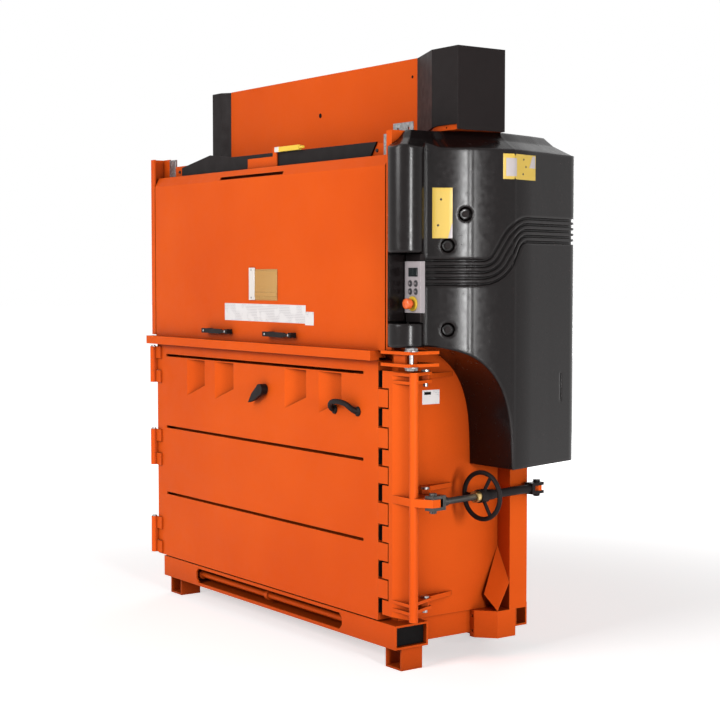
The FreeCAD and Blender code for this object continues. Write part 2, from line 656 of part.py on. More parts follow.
def lock_plate():
    """The swinging lock plate: fingers, slanted web, bar, two pairs of flanges and an arm."""
    bar = rod("z", ("lock_bar_x", "lock_bar_y"), "lock_low", "lock_high", "lock_bar")
    hole = "lock_pin + 2 * pin_play"
    flange = [("lock_left + 12", "0"), ("lock_bar_x", "0"), ("lock_x + eye_half", "lock_y - 10"),
              ("lock_x + eye_half * 0.7", "lock_y + 18"), ("lock_x", "lock_y + eye_half"),
              ("lock_x - eye_half * 0.7", "lock_y + 18"), ("lock_x - eye_half", "lock_y - 10")]
    pieces = [lock_web(), bar]
    for base in ("flange_top", "flange_bottom"):
        step = "-flange_space - flange_thick" if base == "flange_top" else \
            "flange_space + flange_thick"
        for low in (base, f"{base} + ({step})"):
            pieces.append(eye_arm(flange, low, f"{low} + flange_thick", "lock_x", "lock_y",
                                  hole))
    arm = [("lock_left + 20", "0"), ("lock_bar_x", "-2"), ("lock_bar_x + 40", "16"),
           ("front_bolt_x + 22", "front_bolt_y - 20"),
           ("front_bolt_x + 22", "front_bolt_y + 18"),
           ("front_bolt_x - 20", "front_bolt_y + 20"),
           ("lock_x + eye_half", "lock_y + 16"), ("lock_x", "lock_y + eye_half"),
           ("lock_x - eye_half", "lock_y")]
    body = profile("XY", [arm], "axis_level - arm_half", "axis_level + arm_half",
                   [("lock_x", "lock_y", hole),
                    ("front_bolt_x", "front_bolt_y", "bolt + 2 * bolt_play")])
    pieces.append(body)
    node("lock_plate", fuse(*pieces), *lock_fingers())


def lock_levels():
    """Where the wall's brackets sit between the flanges or over the arm."""
    return (("flange_top - flange_space + running_gap", "flange_top - running_gap"),
            ("flange_bottom + flange_thick + running_gap",
             "flange_bottom + flange_thick + flange_space - running_gap"),
            ("axis_level + arm_half + running_gap",
             "axis_level + arm_half + flange_space - running_gap"))


def hinge_brackets():
    """Tapered brackets on the right wall that carry the lock plate's pins."""
    outline = [("wall_outer", "lock_y - 40"), ("lock_x + 6", "lock_y - eye_half + 4"),
               ("lock_x + eye_half - 4", "lock_y"), ("lock_x + 6", "lock_y + eye_half - 4"),
               ("wall_outer + 40", "lock_y + 60"), ("wall_outer", "bracket_rear")]
    brackets = []
    for low, high in lock_levels():
        brackets.append(eye_arm(outline, low, high, "lock_x", "lock_y",
                                "lock_pin + 2 * pin_play"))
    node("hinge_brackets", *brackets, catch_bracket())


def catch_bracket():
    """Two plates with a block between them, on the wall above the lock plate."""
    outline = [("guard_left", "guard_front"), ("guard_reach", "guard_front"),
               ("guard_reach", "guard_rear"), ("wall_outer + seam", "guard_rear"),
               ("wall_outer + seam", "wall_front + seam"),
               ("guard_left", "wall_front + seam")]
    hole = ("catch_pin_x", "catch_pin_y", "catch_pin + 2 * pin_play")
    plates = [profile("XY", [outline], low, f"{low} + guard_plate", [hole])
              for low in ("guard_low", "guard_high - guard_plate")]
    block = box(("catch_left", "catch_right"), ("catch_front", "catch_rear"),
                ("guard_low + guard_plate", "guard_high - guard_plate"))
    return fuse(*plates, block)


def lock_pins():
    centre = ("lock_x", "lock_y")
    pins = []
    for low, high in (("flange_top - flange_space - flange_thick - 14",
                       "flange_top + flange_thick"),
                      ("flange_bottom - 14",
                       "flange_bottom + flange_space + 2 * flange_thick"),
                      ("axis_level - arm_half - 14",
                       "axis_level + arm_half + flange_space")):
        pins.append(fuse(rod("z", centre, low, f"{high} + 2", "lock_pin"),
                         rod("z", centre, f"{high} + running_gap",
                             f"{high} + pin_head", "lock_pin + 12")))
    place = ("catch_pin_x", "catch_pin_y")
    pins.append(fuse(rod("z", place, "catch_pin_low", "catch_pin_high", "catch_pin"),
                     rod("z", place, "guard_high + running_gap", "catch_pin_high",
                         "catch_pin + 12")))
    node("lock_pins", *pins)


def turnbuckle_bracket():
    """The tongue on the rear column that holds the turnbuckle's rear bolt."""
    outline = [("outrigger_reach", "rear_bolt_y - 30"), ("rear_bolt_x + 8", "rear_bolt_y - 20"),
               ("rear_bolt_x + 20", "rear_bolt_y - 6"),
               ("rear_bolt_x + 20", "rear_bolt_y + 10"),
               ("rear_bolt_x + 8", "rear_bolt_y + 20"),
               ("rear_bolt_x - 14", "rear_bolt_y + 20"), ("outrigger_reach", "column_rear - 4")]
    tongue = eye_arm(outline, "axis_level - tongue_half", "axis_level + tongue_half",
                     "rear_bolt_x", "rear_bolt_y", "bolt + 2 * pin_play")
    node("turnbuckle_bracket", tongue)


def turnbuckle_placement():
    """From the turnbuckle's own axis (rear bolt at 0, running along X) to the machine."""
    reach = Vector(size("front_bolt_x - rear_bolt_x"), size("front_bolt_y - rear_bolt_y"), 0)
    start = Vector(size("rear_bolt_x"), size("rear_bolt_y"), size("axis_level"))
    turn = Rotation(Vector(1, 0, 0), reach)
    return FreeCAD.Placement(start, turn), reach.Length


def fork(bolt_place, facing, eye_thick):
    """Two cheeks round an eye, joined by a yoke on the rod's side."""
    half = f"({eye_thick}) / 2 + running_gap"
    reach = f"{facing} * (fork_wide / 2 + 12)"
    far = f"({bolt_place}) + {reach}"
    near = f"({bolt_place}) - {facing} * 22"
    left, right = (near, far) if facing == "1" else (far, near)
    pieces = []
    for low, high in ((half, f"{half} + fork_plate"), (f"-({half}) - fork_plate",
                                                       f"-({half})")):
        pieces.append(box((left, right), ("-fork_wide / 2", "fork_wide / 2"), (low, high)))
    yoke = (far, f"({far}) + 16") if facing == "1" else (f"({far}) - 16", far)
    pieces.append(box(yoke, ("-fork_wide / 2", "fork_wide / 2"),
                      (f"-({half}) - fork_plate", f"{half} + fork_plate")))
    return pieces


def cross_bolt(place, eye_thick):
    """A bolt through a fork, with its head above and a nut below."""
    top = f"({eye_thick}) / 2 + running_gap + fork_plate"
    return [rod("z", (place, "0"), f"-({top}) - 12", f"{top} + 10", "bolt"),
            rod("z", (place, "0"), top, f"{top} + 10", "bolt + 12"),
            rod("z", (place, "0"), f"-({top}) - 10", f"-({top})", "bolt + 11")]


def turnbuckle():
    placement, length = turnbuckle_placement()
    end = f"{length}"
    centre = ("0", "0")
    wheel = "wheel_place"
    bolts = cross_bolt("0", "2 * tongue_half")
    stub = rod("x", centre, "fork_wide / 2 + 20", "fork_wide / 2 + 90", "rear_stub")
    rear = fuse(*fork("0", "1", "2 * tongue_half"), stub, *bolts)
    front = fuse(*fork(end, "-1", "2 * arm_half"), *cross_bolt(end, "2 * arm_half"),
                 rod("x", centre, f"{wheel} - 70", f"{end} - fork_wide / 2 - 20", "front_rod"),
                 rod("x", centre, f"{end} - fork_wide / 2 - 52", f"{end} - fork_wide / 2 - 20",
                     "front_rod + 10"))
    front_end = f"{wheel} + hub_long / 2"
    tube_start = "fork_wide / 2 + 28 + running_gap"
    sleeve = fuse(rod("x", centre, tube_start, front_end, "sleeve"),
                  rod("x", centre, f"{wheel} - hub_long / 2", front_end, "hub"),
                  rod("x", centre, f"{wheel} - hub_long / 2 - 40", f"{wheel} - hub_long / 2",
                      "sleeve + 6"),
                  *wheel_rim(wheel))
    sleeve = cut(sleeve, rod("x", centre, tube_start, "fork_wide / 2 + 100",
                             "rear_stub + 2 * pin_play"),
                 rod("x", centre, f"{wheel} - 70 - rod_travel - 8", front_end,
                     "front_rod + 2 * pin_play"))
    nut = cut(rod("x", centre, front_end, f"{front_end} + nut_long", "nut"),
              rod("x", centre, front_end, f"{front_end} + nut_long",
                  "front_rod + 2 * pin_play"))
    for label, piece in (("rear_fork", rear), ("front_rod", front), ("handwheel", sleeve),
                         ("brass_nut", nut)):
        node(label, piece).Placement = placement


def wheel_rim(place):
    """A round rim on three spokes."""
    rim = doc.addObject("Part::Torus", "Rim")
    rim.setExpression("Radius1", bound("wheel_radius - wheel_rim / 2"))
    rim.setExpression("Radius2", bound("wheel_rim / 2"))
    rim.Placement = FreeCAD.Placement(Vector(), AXIS_TURN["x"])
    rim.setExpression("Placement.Base.x", bound(place))
    pieces = [rim]
    for turn in (90, 210, 330):
        spoke = doc.addObject("Part::Cylinder", "Spoke")
        spoke.setExpression("Radius", bound("spoke / 2"))
        spoke.setExpression("Height", bound("wheel_radius - wheel_rim / 2"))
        spoke.Placement = FreeCAD.Placement(Vector(), Rotation(Vector(1, 0, 0), turn))
        spoke.setExpression("Placement.Base.x", bound(place))
        pieces.append(spoke)
    return pieces


# ---- loading hatch ----

def loading_hatch():
    """A folded hatch with a sloping top edge, a finger slot and side returns."""
    section = [("0", "hatch_low"), ("0", "hatch_bevel"), ("hatch_step", "hatch_high"),
               ("hatch_depth", "hatch_high"), ("hatch_depth", "hatch_high - hatch_sheet"),
               ("hatch_step + 3", "hatch_high - hatch_sheet"),
               ("hatch_sheet", "hatch_bevel - 3"), ("hatch_sheet", "hatch_low + hatch_sheet"),
               ("hatch_depth", "hatch_low + hatch_sheet"), ("hatch_depth", "hatch_low")]
    skin = profile("YZ", [section], "hatch_left", "hatch_right")
    slot = box(("hatch_slot_left", "hatch_slot_right"), ("-5", "hatch_step"),
               ("hatch_slot_low", "hatch_slot_high"))
    side = [("0", "hatch_low"), ("0", "hatch_bevel"), ("hatch_step", "hatch_high"),
            ("hatch_depth", "hatch_high"), ("hatch_depth", "hatch_low")]
    pieces = [cut(skin, slot)]
    for left, right in (("hatch_left", "hatch_left + hatch_sheet"),
                        ("hatch_right - hatch_sheet", "hatch_right")):
        pieces.append(profile("YZ", [side], left, right))
    node("loading_hatch", fuse(*pieces))


def hatch_ledge():
    ledge = fuse(box(("hatch_left + 6", "ledge_right"), ("ledge_front", "0"),
                     ("ledge_low", "hatch_low")),
                 box(("ledge_left", "ledge_right"), ("ledge_front", "ledge_end_gap"),
                     ("ledge_low", "hatch_low")),
                 box(("hatch_left + 6", "ledge_right"), ("0", "hatch_depth"),
                     ("ledge_low + 10", "hatch_low")))
    node("hatch_ledge", ledge)


def hatch_handle(left, right):
    """A flat pull bar on two posts, thinner at its right end."""
    posts = []
    for start in (f"{left} + 14", f"{right} - 36"):
        posts.append(box((start, f"{start} + handle_post"),
                         ("-handle_proud + handle_bar", "0"), ("handle_low", "handle_high")))
    bar = profile("XZ", [[(left, "handle_low"), (f"{right} - 60", "handle_low"),
                          (f"{right} - 46", "handle_low + 4"), (right, "handle_low + 4"),
                          (right, "handle_high - 4"), (f"{right} - 46", "handle_high - 4"),
                          (f"{right} - 60", "handle_high"), (left, "handle_high")]],
                  "-handle_proud", "-handle_proud + handle_bar")
    return fuse(bar, *posts)


def hatch_handles():
    node("hatch_handles", hatch_handle("handle_1_left", "handle_1_right"),
         hatch_handle("handle_2_left", "handle_2_right"))


def hatch_rollers():
    """Rollers on stub axles that run inside the guides, a pair at each level."""
    middle = "(guide_front + wall_front) / 2"
    roller = "(wall_front - guide_front - 2 * guide_sheet - 2 * running_gap)"
    level_low = f"guide_low + {roller} / 2 + roller_foot_gap"
    bore = "roller_axle + 2 * pin_play"
    axles = []
    for label, level in (("hatch_rollers_lower", level_low),
                         ("hatch_rollers_upper", "roller_level_high")):
        centre = (middle, level)
        pair = []
        for low, high in (("hatch_right + roller_gap", "hatch_right + roller_gap + roller_wide"),
                          ("hatch_left - roller_gap - roller_wide", "hatch_left - roller_gap")):
            pair.append(cut(rod("x", centre, low, high, roller),
                            rod("x", centre, low, high, bore)))
        node(label, *pair)
        reach = "roller_gap + roller_wide + 1"
        plate_y = ("hatch_depth", f"{middle} + roller_axle")
        plate_z = (f"{level} - roller_axle - 8", f"{level} + roller_axle + 8")
        axles.append(fuse(rod("x", centre, "hatch_right",
                              f"hatch_right + {reach}", "roller_axle"),
                          box(("hatch_right - hatch_sheet", "hatch_right"), plate_y, plate_z)))
        axles.append(fuse(rod("x", centre, f"hatch_left - ({reach})",
                              "hatch_left", "roller_axle"),
                          box(("hatch_left", "hatch_left + hatch_sheet"), plate_y, plate_z)))
    node("roller_axles", *axles)


def guides():
    """Channels that the hatch's rollers run in."""
    section = [("guide_lip", "guide_front"), ("guide_web", "guide_front"),
               ("guide_web", "wall_front"), ("guide_flange", "wall_front"),
               ("guide_flange", "wall_front - guide_sheet"),
               ("guide_web - guide_sheet", "wall_front - guide_sheet"),
               ("guide_web - guide_sheet", "guide_front + guide_sheet"),
               ("guide_lip", "guide_front + guide_sheet")]
    guide = profile("XY", [section], "guide_low", "guide_high")
    node("hatch_guides", guide, mirrored(guide))


def front_top():
    """What spans the front above the hatch: rail, black apron, switch and its arm."""
    rail = box(("-strip_inner", "strip_inner"), ("wall_front - rail_sheet", "wall_front"),
               ("rail_low", "upper_high"))
    node("top_rail", rail)
    front = "wall_front - rail_sheet - front_sheet"
    apron = profile("XZ", [[("-738", "upper_high - 70"), ("735", "upper_high - 48"),
                            ("774", "upper_high + 7"), ("-281", "upper_high + 13"),
                            ("-481", "upper_high + 33"), ("-738", "upper_high - 9")]],
                    front, "wall_front - rail_sheet")
    node("front_apron", apron)
    arm = fuse(box(("switch_arm_left", "switch_left"), (f"{front} - 6", front),
                   ("rail_low + 20", "switch_arm_high")),
               box(("switch_left - 30", "switch_left"), (f"{front} - 6", front),
                   ("switch_arm_high - 10", "switch_high")))
    node("switch_arm", arm)
    switch = fuse(box(("switch_left", "switch_right"), (f"{front} - 16", f"{front} - 1"),
                      ("switch_low", "switch_high")),
                  rod("x", (f"{front} - 8", "switch_low + 10"), "switch_right",
                      "switch_right + 25", "12"))
    node("hatch_switch", switch)


def zinc_fittings():
    """Strips beside the guides, and a drilled angle on top of the right wall."""
    strip = box(("strip_inner", "guide_flange"), ("wall_front - 2 * strip_sheet", "wall_front"),
                ("strip_low", "strip_high"))
    holes = [("zinc_left + 30", "zinc_high - 24", "12"),
             ("zinc_left + 72", "zinc_high - 40", "16"),
             ("zinc_right - 24", "zinc_high - 24", "12")]
    upright = profile("XZ", [rectangle("zinc_left", "zinc_right", "zinc_low", "zinc_high")],
                      "wall_front + 30", "wall_front + 36", holes)
    foot_plate = box(("zinc_left", "wall_outer"), ("wall_front + 2", "wall_front + 36"),
                     ("upper_high", "upper_high + 6"))
    node("zinc_fittings", strip, mirrored(strip), fuse(upright, foot_plate))


# ---- press head ----

def crown():
    """The head plate on the walls; the rams pass through it."""
    plate = box(("-crown_half", "crown_half"), ("crown_front", "crown_rear"),
                ("upper_high", "upper_high + crown_thick"))
    holes = [rod("z", (place, "ram_y"), "upper_high - 1", "upper_high + crown_thick + 1",
                 "barrel - 2 * ram_wall") for place in ("-ram_x", "ram_x")]
    node("crown_plate", cut(plate, *holes))


def guard_panel():
    low = "upper_high + crown_thick"
    panel = profile("XZ", [rectangle("-panel_half", "panel_half", low, "panel_high")],
                    "panel_front", "panel_front + panel_sheet",
                    [("32", "panel_high - 169", "panel_hole"),
                     ("panel_half - 31", "panel_high - 70", "panel_hole_small")])
    node("guard_panel", panel)


def tower(front, top_outline, low):
    """A folded sheet-metal tower, open below and towards the guard panel."""
    inner_x, inner_y = front[0]
    rear = "tower_rear"
    outer_x = front[-1][0]
    side = "1" if outer_x == "right_tower_outer" else "-1"
    skin = f"{side} * tower_sheet"
    bend_x, bend_y = front[1]
    section = [(inner_x, inner_y), (bend_x, bend_y), (outer_x, bend_y), (outer_x, rear),
               (inner_x, rear), (inner_x, f"{rear} - tower_sheet"),
               (f"{outer_x} - {skin}", f"{rear} - tower_sheet"),
               (f"{outer_x} - {skin}", f"{bend_y} + tower_sheet"),
               (f"{bend_x} + {skin} / 2", f"{bend_y} + tower_sheet"),
               (inner_x, f"{inner_y} + tower_sheet * 1.1")]
    body = profile("XY", [section], low, "tower_high")
    return add_pad(body, "XY", [top_outline], "tower_high - tower_sheet", "tower_high")


def towers():
    """The two towers round the cylinders; the right one reaches out over the cover."""
    front = [("-panel_half", "panel_front"), ("-panel_half - 40", "tower_front"),
             ("-tower_outer", "tower_front")]
    top = front + [("-tower_outer", "tower_rear"), ("-panel_half", "tower_rear")]
    node("tower_left", tower(front, top, "upper_high + crown_thick"))
    front = [("panel_half", "panel_front"), ("right_tower_crease", "right_tower_front"),
             ("right_tower_outer", "right_tower_front")]
    top = front + [("right_tower_outer", "tower_rear"), ("panel_half", "tower_rear")]
    low = "cover_top + seam"
    notch = profile("XZ", [[("notch_left", f"{low} - 1"), ("notch_left", low),
                            ("notch_full", f"{low} + shoulder_lip"),
                            ("right_tower_outer - 6", f"{low} + shoulder_lip"),
                            ("right_tower_outer - 6", f"{low} - 1")]],
                    "right_tower_front - 5", "panel_front - 10")
    node("tower_right", cut(tower(front, top, low), notch))


def shoulder_plate():
    """The plate inside the right tower's foot, with a lip in front, on four legs."""
    gap = "(tower_sheet + 1)"
    front = [("panel_half + 8", f"panel_front + {gap}"),
             ("right_tower_crease + 3", f"right_tower_front + {gap}"),
             (f"right_tower_outer - {gap}", f"right_tower_front + {gap}")]
    back = [(f"right_tower_outer - {gap}", f"tower_rear - {gap}"),
            ("panel_half + 8", f"tower_rear - {gap}")]
    inner = [(x, f"{y} + shoulder_sheet") for x, y in reversed(front)]
    low = "cover_top + seam"
    plate = profile("XY", [front + back], low, f"{low} + shoulder_sheet")
    lip = profile("XY", [front + inner], low, f"{low} + shoulder_lip")
    window = rod("z", ("ram_x", "ram_y"), f"{low} - 10", f"{low} + shoulder_lip + 10",
                 "barrel + 4")
    hole = rod("y", ("lip_hole_x", f"{low} + shoulder_lip / 2"), "right_tower_front",
               f"right_tower_front + {gap} + 2 * shoulder_sheet", "lip_hole")
    legs = []
    for y in ("crown_front + 36", "crown_rear - 20"):
        for x in ("panel_half + 95", "crown_half - 14"):
            legs.append(box((x, f"{x} + 12"), (y, f"{y} + 12"),
                            ("upper_high + crown_thick", low)))
    node("shoulder_plate", cut(fuse(plate, lip, *legs), window, hole))


def ram_tube(outer, wall_text, low, high):
    pieces = []
    for place in ("-ram_x", "ram_x"):
        pieces.append(cut(rod("z", (place, "ram_y"), low, high, outer),
                          rod("z", (place, "ram_y"), low, high, f"{outer} - 2 * {wall_text}")))
    return pieces


def rams():
    """Two telescopic cylinders: a barrel, two tubes and a plunger inside each other."""
    low = "upper_high + crown_thick"
    closed = []
    for place in ("-ram_x", "ram_x"):
        tube = cut(rod("z", (place, "ram_y"), low, "barrel_high", "barrel"),
                   rod("z", (place, "ram_y"), low, "barrel_high - 8", "barrel - 2 * ram_wall"))
        closed.append(tube)
    node("cylinder_barrels", *closed)
    first = "barrel - 2 * ram_wall - 2 * ram_play"
    second = f"{first} - 2 * ram_wall - 2 * ram_play"
    plunger = f"{second} - 2 * ram_wall - 2 * ram_play"
    node("ram_stage_1", *ram_tube(first, "ram_wall", "upper_high + 2",
                                  "upper_high + 2 + stage_long"))
    node("ram_stage_2", *ram_tube(second, "ram_wall", "upper_high - 1",
                                  "upper_high - 1 + stage_long"))
    rods = [rod("z", (place, "ram_y"), "platen_high", "plunger_high", plunger)
            for place in ("-ram_x", "ram_x")]
    node("ram_plungers", *rods)


def press_platen():
    """The press plate: a flat sole, an edge frame and ribs."""
    sole = box(("-platen_half", "platen_half"), ("platen_front", "platen_rear"),
               ("platen_low", "platen_low + platen_plate"))
    pieces = [sole]
    for front in ("platen_front", "ram_y - 30", "platen_rear - 20"):
        wide = "60" if front == "ram_y - 30" else "20"
        pieces.append(box(("-platen_half", "platen_half"), (front, f"{front} + {wide}"),
                          ("platen_low + platen_plate", "platen_high")))
    for place in ("-platen_half", "-strap_far", "-strap_near", "0", "strap_near", "strap_far",
                  "platen_half - 20"):
        pieces.append(box((place, f"{place} + 20"), ("platen_front", "platen_rear"),
                          ("platen_low + platen_plate", "platen_high - 20")))
    node("press_platen", fuse(*pieces))


# ---- side cover ----

def cover_outline(inset, level):
    """Plan of the cover, its outer edges moved in by a distance, at one level."""
    corners = [(size("crease_x"), size("crease_y")), (size("flank_x"), size("flank_y")),
               (size("side_x"), size("side_y")), (size("tail_x"), size("tail_y")),
               (size("end_x"), size("end_y"))]
    rear = size("cover_rear")
    lines = [(corners[i], corners[i + 1]) for i in range(4)]
    moved = [move_line(a, b, inset) for a, b in lines]
    rear_line = ((0, rear - inset), (-100, rear - inset))
    crossings = [cross(moved[i], moved[i + 1]) for i in range(3)]
    tail_end = cross(moved[3], rear_line)
    radius = max(size("cover_corner") - inset, 4)
    centre = (size("nose_x"), size("nose_y"))
    nose = size("nose_radius") - inset
    flat = size("cover_flat")
    start = (flat, centre[1] - math.sqrt(max(nose ** 2 - (flat - centre[0]) ** 2, 0)))
    meet = meet_circle(moved[0], centre, nose)
    middle = (centre[0] + nose * math.cos(-0.6), centre[1] + nose * math.sin(-0.6))
    before, corner_mid, after = round_corner(crossings[2], tail_end, radius)
    inner = size("cover_inner")
    step = size("cover_step")

    def spot(place):
        return Vector(place[0], place[1], level)

    edges = [Part.Arc(spot(start), spot(middle), spot(meet)).toShape()]
    run = [meet, *crossings, before]
    edges += [Part.makeLine(spot(a), spot(b)) for a, b in zip(run, run[1:])]
    edges.append(Part.Arc(spot(before), spot(corner_mid), spot(after)).toShape())
    run = [after, (inner, rear - inset), (inner, step), (flat, step), start]
    edges += [Part.makeLine(spot(a), spot(b)) for a, b in zip(run, run[1:])]
    return Part.Wire(edges)


def move_line(a, b, inset):
    """Shift a line to its left, which is the inside of the cover."""
    length = math.dist(a, b)
    left = (-(b[1] - a[1]) / length * inset, (b[0] - a[0]) / length * inset)
    return (a[0] + left[0], a[1] + left[1]), (b[0] + left[0], b[1] + left[1])


def cross(first, second):
    (x1, y1), (x2, y2) = first
    (x3, y3), (x4, y4) = second
    under = (x1 - x2) * (y3 - y4) - (y1 - y2) * (x3 - x4)
    share = ((x1 - x3) * (y3 - y4) - (y1 - y3) * (x3 - x4)) / under
    return x1 + share * (x2 - x1), y1 + share * (y2 - y1)


def meet_circle(line, centre, radius):
    """Where the flank's line leaves the nose's circle, on the side away from the front."""
    (x1, y1), (x2, y2) = line
    length = math.dist(*line)
    along = ((x2 - x1) / length, (y2 - y1) / length)
    foot_share = (centre[0] - x1) * along[0] + (centre[1] - y1) * along[1]
    foot_point = (x1 + along[0] * foot_share, y1 + along[1] * foot_share)
    off = math.dist(foot_point, centre)
    reach = math.sqrt(max(radius ** 2 - off ** 2, 0))
    return foot_point[0] + along[0] * reach, foot_point[1] + along[1] * reach


def round_corner(before, corner, radius):
    """Tangent points and middle of an arc between a line and the rear edge."""
    length = math.dist(before, corner)
    back = ((before[0] - corner[0]) / length, (before[1] - corner[1]) / length)
    ahead = (-1.0, 0.0)
    half = math.acos(back[0] * ahead[0] + back[1] * ahead[1]) / 2
    setback = radius / math.tan(half)
    start = (corner[0] + back[0] * setback, corner[1] + back[1] * setback)
    end = (corner[0] + ahead[0] * setback, corner[1])
    bisector = (back[0] + ahead[0], back[1] + ahead[1])
    norm = math.hypot(*bisector)
    distance = radius / math.sin(half) - radius
    middle = (corner[0] + bisector[0] / norm * distance,
              corner[1] + bisector[1] / norm * distance)
    return start, middle, end


def cover_body():
    """The moulded form: upright sides under a roof with a crisp edge and two slopes."""
    low, edge = size("cover_low"), size("cover_edge")
    top = size("cover_top")
    sides = Part.Face(cover_outline(0, low)).extrude(Vector(0, 0, top - low))
    roof = Part.makeBox(400, size("cover_rear") + 200, edge - low,
                        Vector(size("cover_inner") - 50, -150, low))
    levels = ((0, edge), (size("bevel_in"), size("bevel_high")), (size("top_in"), top))
    for (first, bottom), (second, upper) in zip(levels, levels[1:]):
        slope = Part.makeLoft([roof_outline(first, bottom), roof_outline(second, upper)],
                              True, True)
        roof = roof.fuse(slope)
    return sides.common(roof)


def roof_outline(inset, level):
    """Plan of the roof, its edges moved in by a distance, at one level."""
    corners = [(size("crease_x"), size("crease_y")), (size("flank_x"), size("flank_y")),
               (size("side_x"), size("side_y")), (size("tail_x"), size("tail_y")),
               (size("end_x"), size("end_y"))]
    rear = size("cover_rear") - inset
    lines = [move_line(a, b, inset) for a, b in zip(corners, corners[1:])]
    nose_front = size("nose_y") - size("nose_radius") + inset
    nose_side = size("nose_x") + size("nose_radius") - inset
    nose_chamfer = size("nose_radius") / 4
    left = min(size("cover_flat"), nose_side - size("nose_radius") / 2)
    join = cross(((nose_side, 0), (nose_side, 100)), lines[0])
    tail = cross(lines[3], ((0, rear), (-100, rear)))
    corner = size("cover_corner") / 2
    inner, step = size("cover_inner"), size("cover_step")
    run = [(left, nose_front), (nose_side - nose_chamfer, nose_front),
           (nose_side, nose_front + nose_chamfer), join]
    run += [cross(a, b) for a, b in zip(lines, lines[1:])]
    run += [(tail[0], tail[1] - corner), (tail[0] - corner, tail[1]), (inner, rear),
            (inner, step), (left, step)]
    return Part.makePolygon([Vector(x, y, level) for x, y in run + run[:1]])


def cover_hollow():
    """The space inside the cover, open to the machine and below behind the arch."""
    inset = size("cover_wall")
    low, high = size("cover_low") - 1, size("cover_edge") - inset
    corners = [(size("crease_x"), size("crease_y")), (size("flank_x"), size("flank_y")),
               (size("side_x"), size("side_y")), (size("tail_x"), size("tail_y")),
               (size("end_x"), size("end_y"))]
    lines = [move_line(a, b, inset) for a, b in zip(corners, corners[1:])]
    rear = size("cover_rear") - inset
    step = size("cover_step") + inset
    inner = size("cover_inner") - 1
    run = [(inner, step), cross(lines[0], ((0, step), (100, step)))]
    run += [cross(a, b) for a, b in zip(lines, lines[1:])]
    corner = cross(lines[-1], ((0, rear), (-100, rear)))
    cut_back = size("cover_corner") * 0.6
    run += [(corner[0] + 8, corner[1] - cut_back), (corner[0] - cut_back, corner[1]),
            (inner, rear)]
    face = Part.Face(Part.makePolygon([Vector(x, y, low) for x, y in run + run[:1]]))
    return face.extrude(Vector(0, 0, high - low)).cut(cover_underside(inset))


def arch_points(grow):
    """The cover's sweeping lower edge from the side, moved up and back by a distance."""
    nose_low = size("cover_nose_low")
    places = [(90, nose_low), (243, nose_low - 34), (300, nose_low - 70),
              (365, nose_low - 149), (400, nose_low - 246), (415, nose_low - 398),
              (418, size("cover_low") - 2)]
    moved = []
    for number, (y, z) in enumerate(places):
        before, after = places[max(number - 1, 0)], places[min(number + 1, 6)]
        length = math.dist(before, after)
        moved.append((y + (before[1] - after[1]) / length * grow,
                      z + (after[0] - before[0]) / length * grow))
    return moved


def cover_underside(grow=0):
    """What is cut away below the cover's sweeping lower edge, seen from the side."""
    points = arch_points(grow)
    start, finish = points[0], points[-1]
    left, right = size("cover_inner - 2"), size("side_x + 60")
    curve = Part.BSplineCurve()
    curve.interpolate([Vector(left, y, z) for y, z in points])
    front = Vector(left, -60, start[1])
    foot_level = finish[1] - 10
    low_rear = Vector(left, finish[0], foot_level)
    low_front = Vector(left, -60, foot_level)
    edges = [Part.makeLine(front, curve.StartPoint), curve.toShape(),
             Part.makeLine(curve.EndPoint, low_rear), Part.makeLine(low_rear, low_front),
             Part.makeLine(low_front, front)]
    return Part.Face(Part.Wire(edges)).extrude(Vector(right - left, 0, 0))


def groove_band(offset):
    """One long groove's band, seen from the side: level, an S rise, then level again."""
    radius, half = size("groove_radius"), size("groove_wide / 2")
    rise, run = size("groove_rise"), size("groove_run")
    straight = math.sqrt(run ** 2 + rise ** 2 - 4 * radius * rise)
    turn = math.atan2(rise - 2 * radius, run) + math.atan2(2 * radius, straight)
    start_y, start_z = size("groove_start"), size("groove_level")
    left = size("cover_inner - 3")
    near, far = size("crease_y") - 80, size("cover_rear + 20")

    def side(shift):
        lower, upper = radius - shift, radius + shift

        def on_first(angle):
            return Vector(left, start_y + lower * math.sin(angle),
                          start_z + radius - lower * math.cos(angle))

        def on_last(angle):
            return Vector(left, start_y + run - upper * math.sin(angle),
                          start_z + rise - radius + upper * math.cos(angle))

        return [Part.makeLine(Vector(left, near, start_z + shift), on_first(0)),
                Part.Arc(on_first(0), on_first(turn / 2), on_first(turn)).toShape(),
                Part.makeLine(on_first(turn), on_last(turn)),
                Part.Arc(on_last(turn), on_last(turn / 2), on_last(0)).toShape(),
                Part.makeLine(on_last(0), Vector(left, far, start_z + rise + shift))]

    low_side, high_side = side(offset - half), side(offset + half)
    ends = [Part.makeLine(low_side[-1].Vertexes[1].Point, high_side[-1].Vertexes[1].Point),
            Part.makeLine(high_side[0].Vertexes[0].Point, low_side[0].Vertexes[0].Point)]
    wire = Part.Wire(Part.sortEdges(low_side + high_side + ends)[0])
    return Part.Face(wire).extrude(Vector(size("side_x + 60") - left, 0, 0))


def groove_cuts():
    """The five grooves as deep as the ring between the skin and an inner form."""
    deep = size("groove_deep")
    low, high = size("groove_level - 80"), size("groove_level + groove_rise + 80")
    outer = Part.Face(cover_outline(-2, low)).extrude(Vector(0, 0, high - low))
    core = Part.Face(cover_outline(deep, low)).extrude(Vector(0, 0, high - low))
    ring = outer.cut(core)
    keep = Part.makeBox(size("side_x"), size("cover_rear"), high - low,
                        Vector(size("cover_inner + 40"), size("crease_y") - 60, low))
    ring = ring.common(keep)
    bands = [groove_band(number * size("groove_pitch")) for number in GROOVES]
    return [ring.common(band) for band in bands]


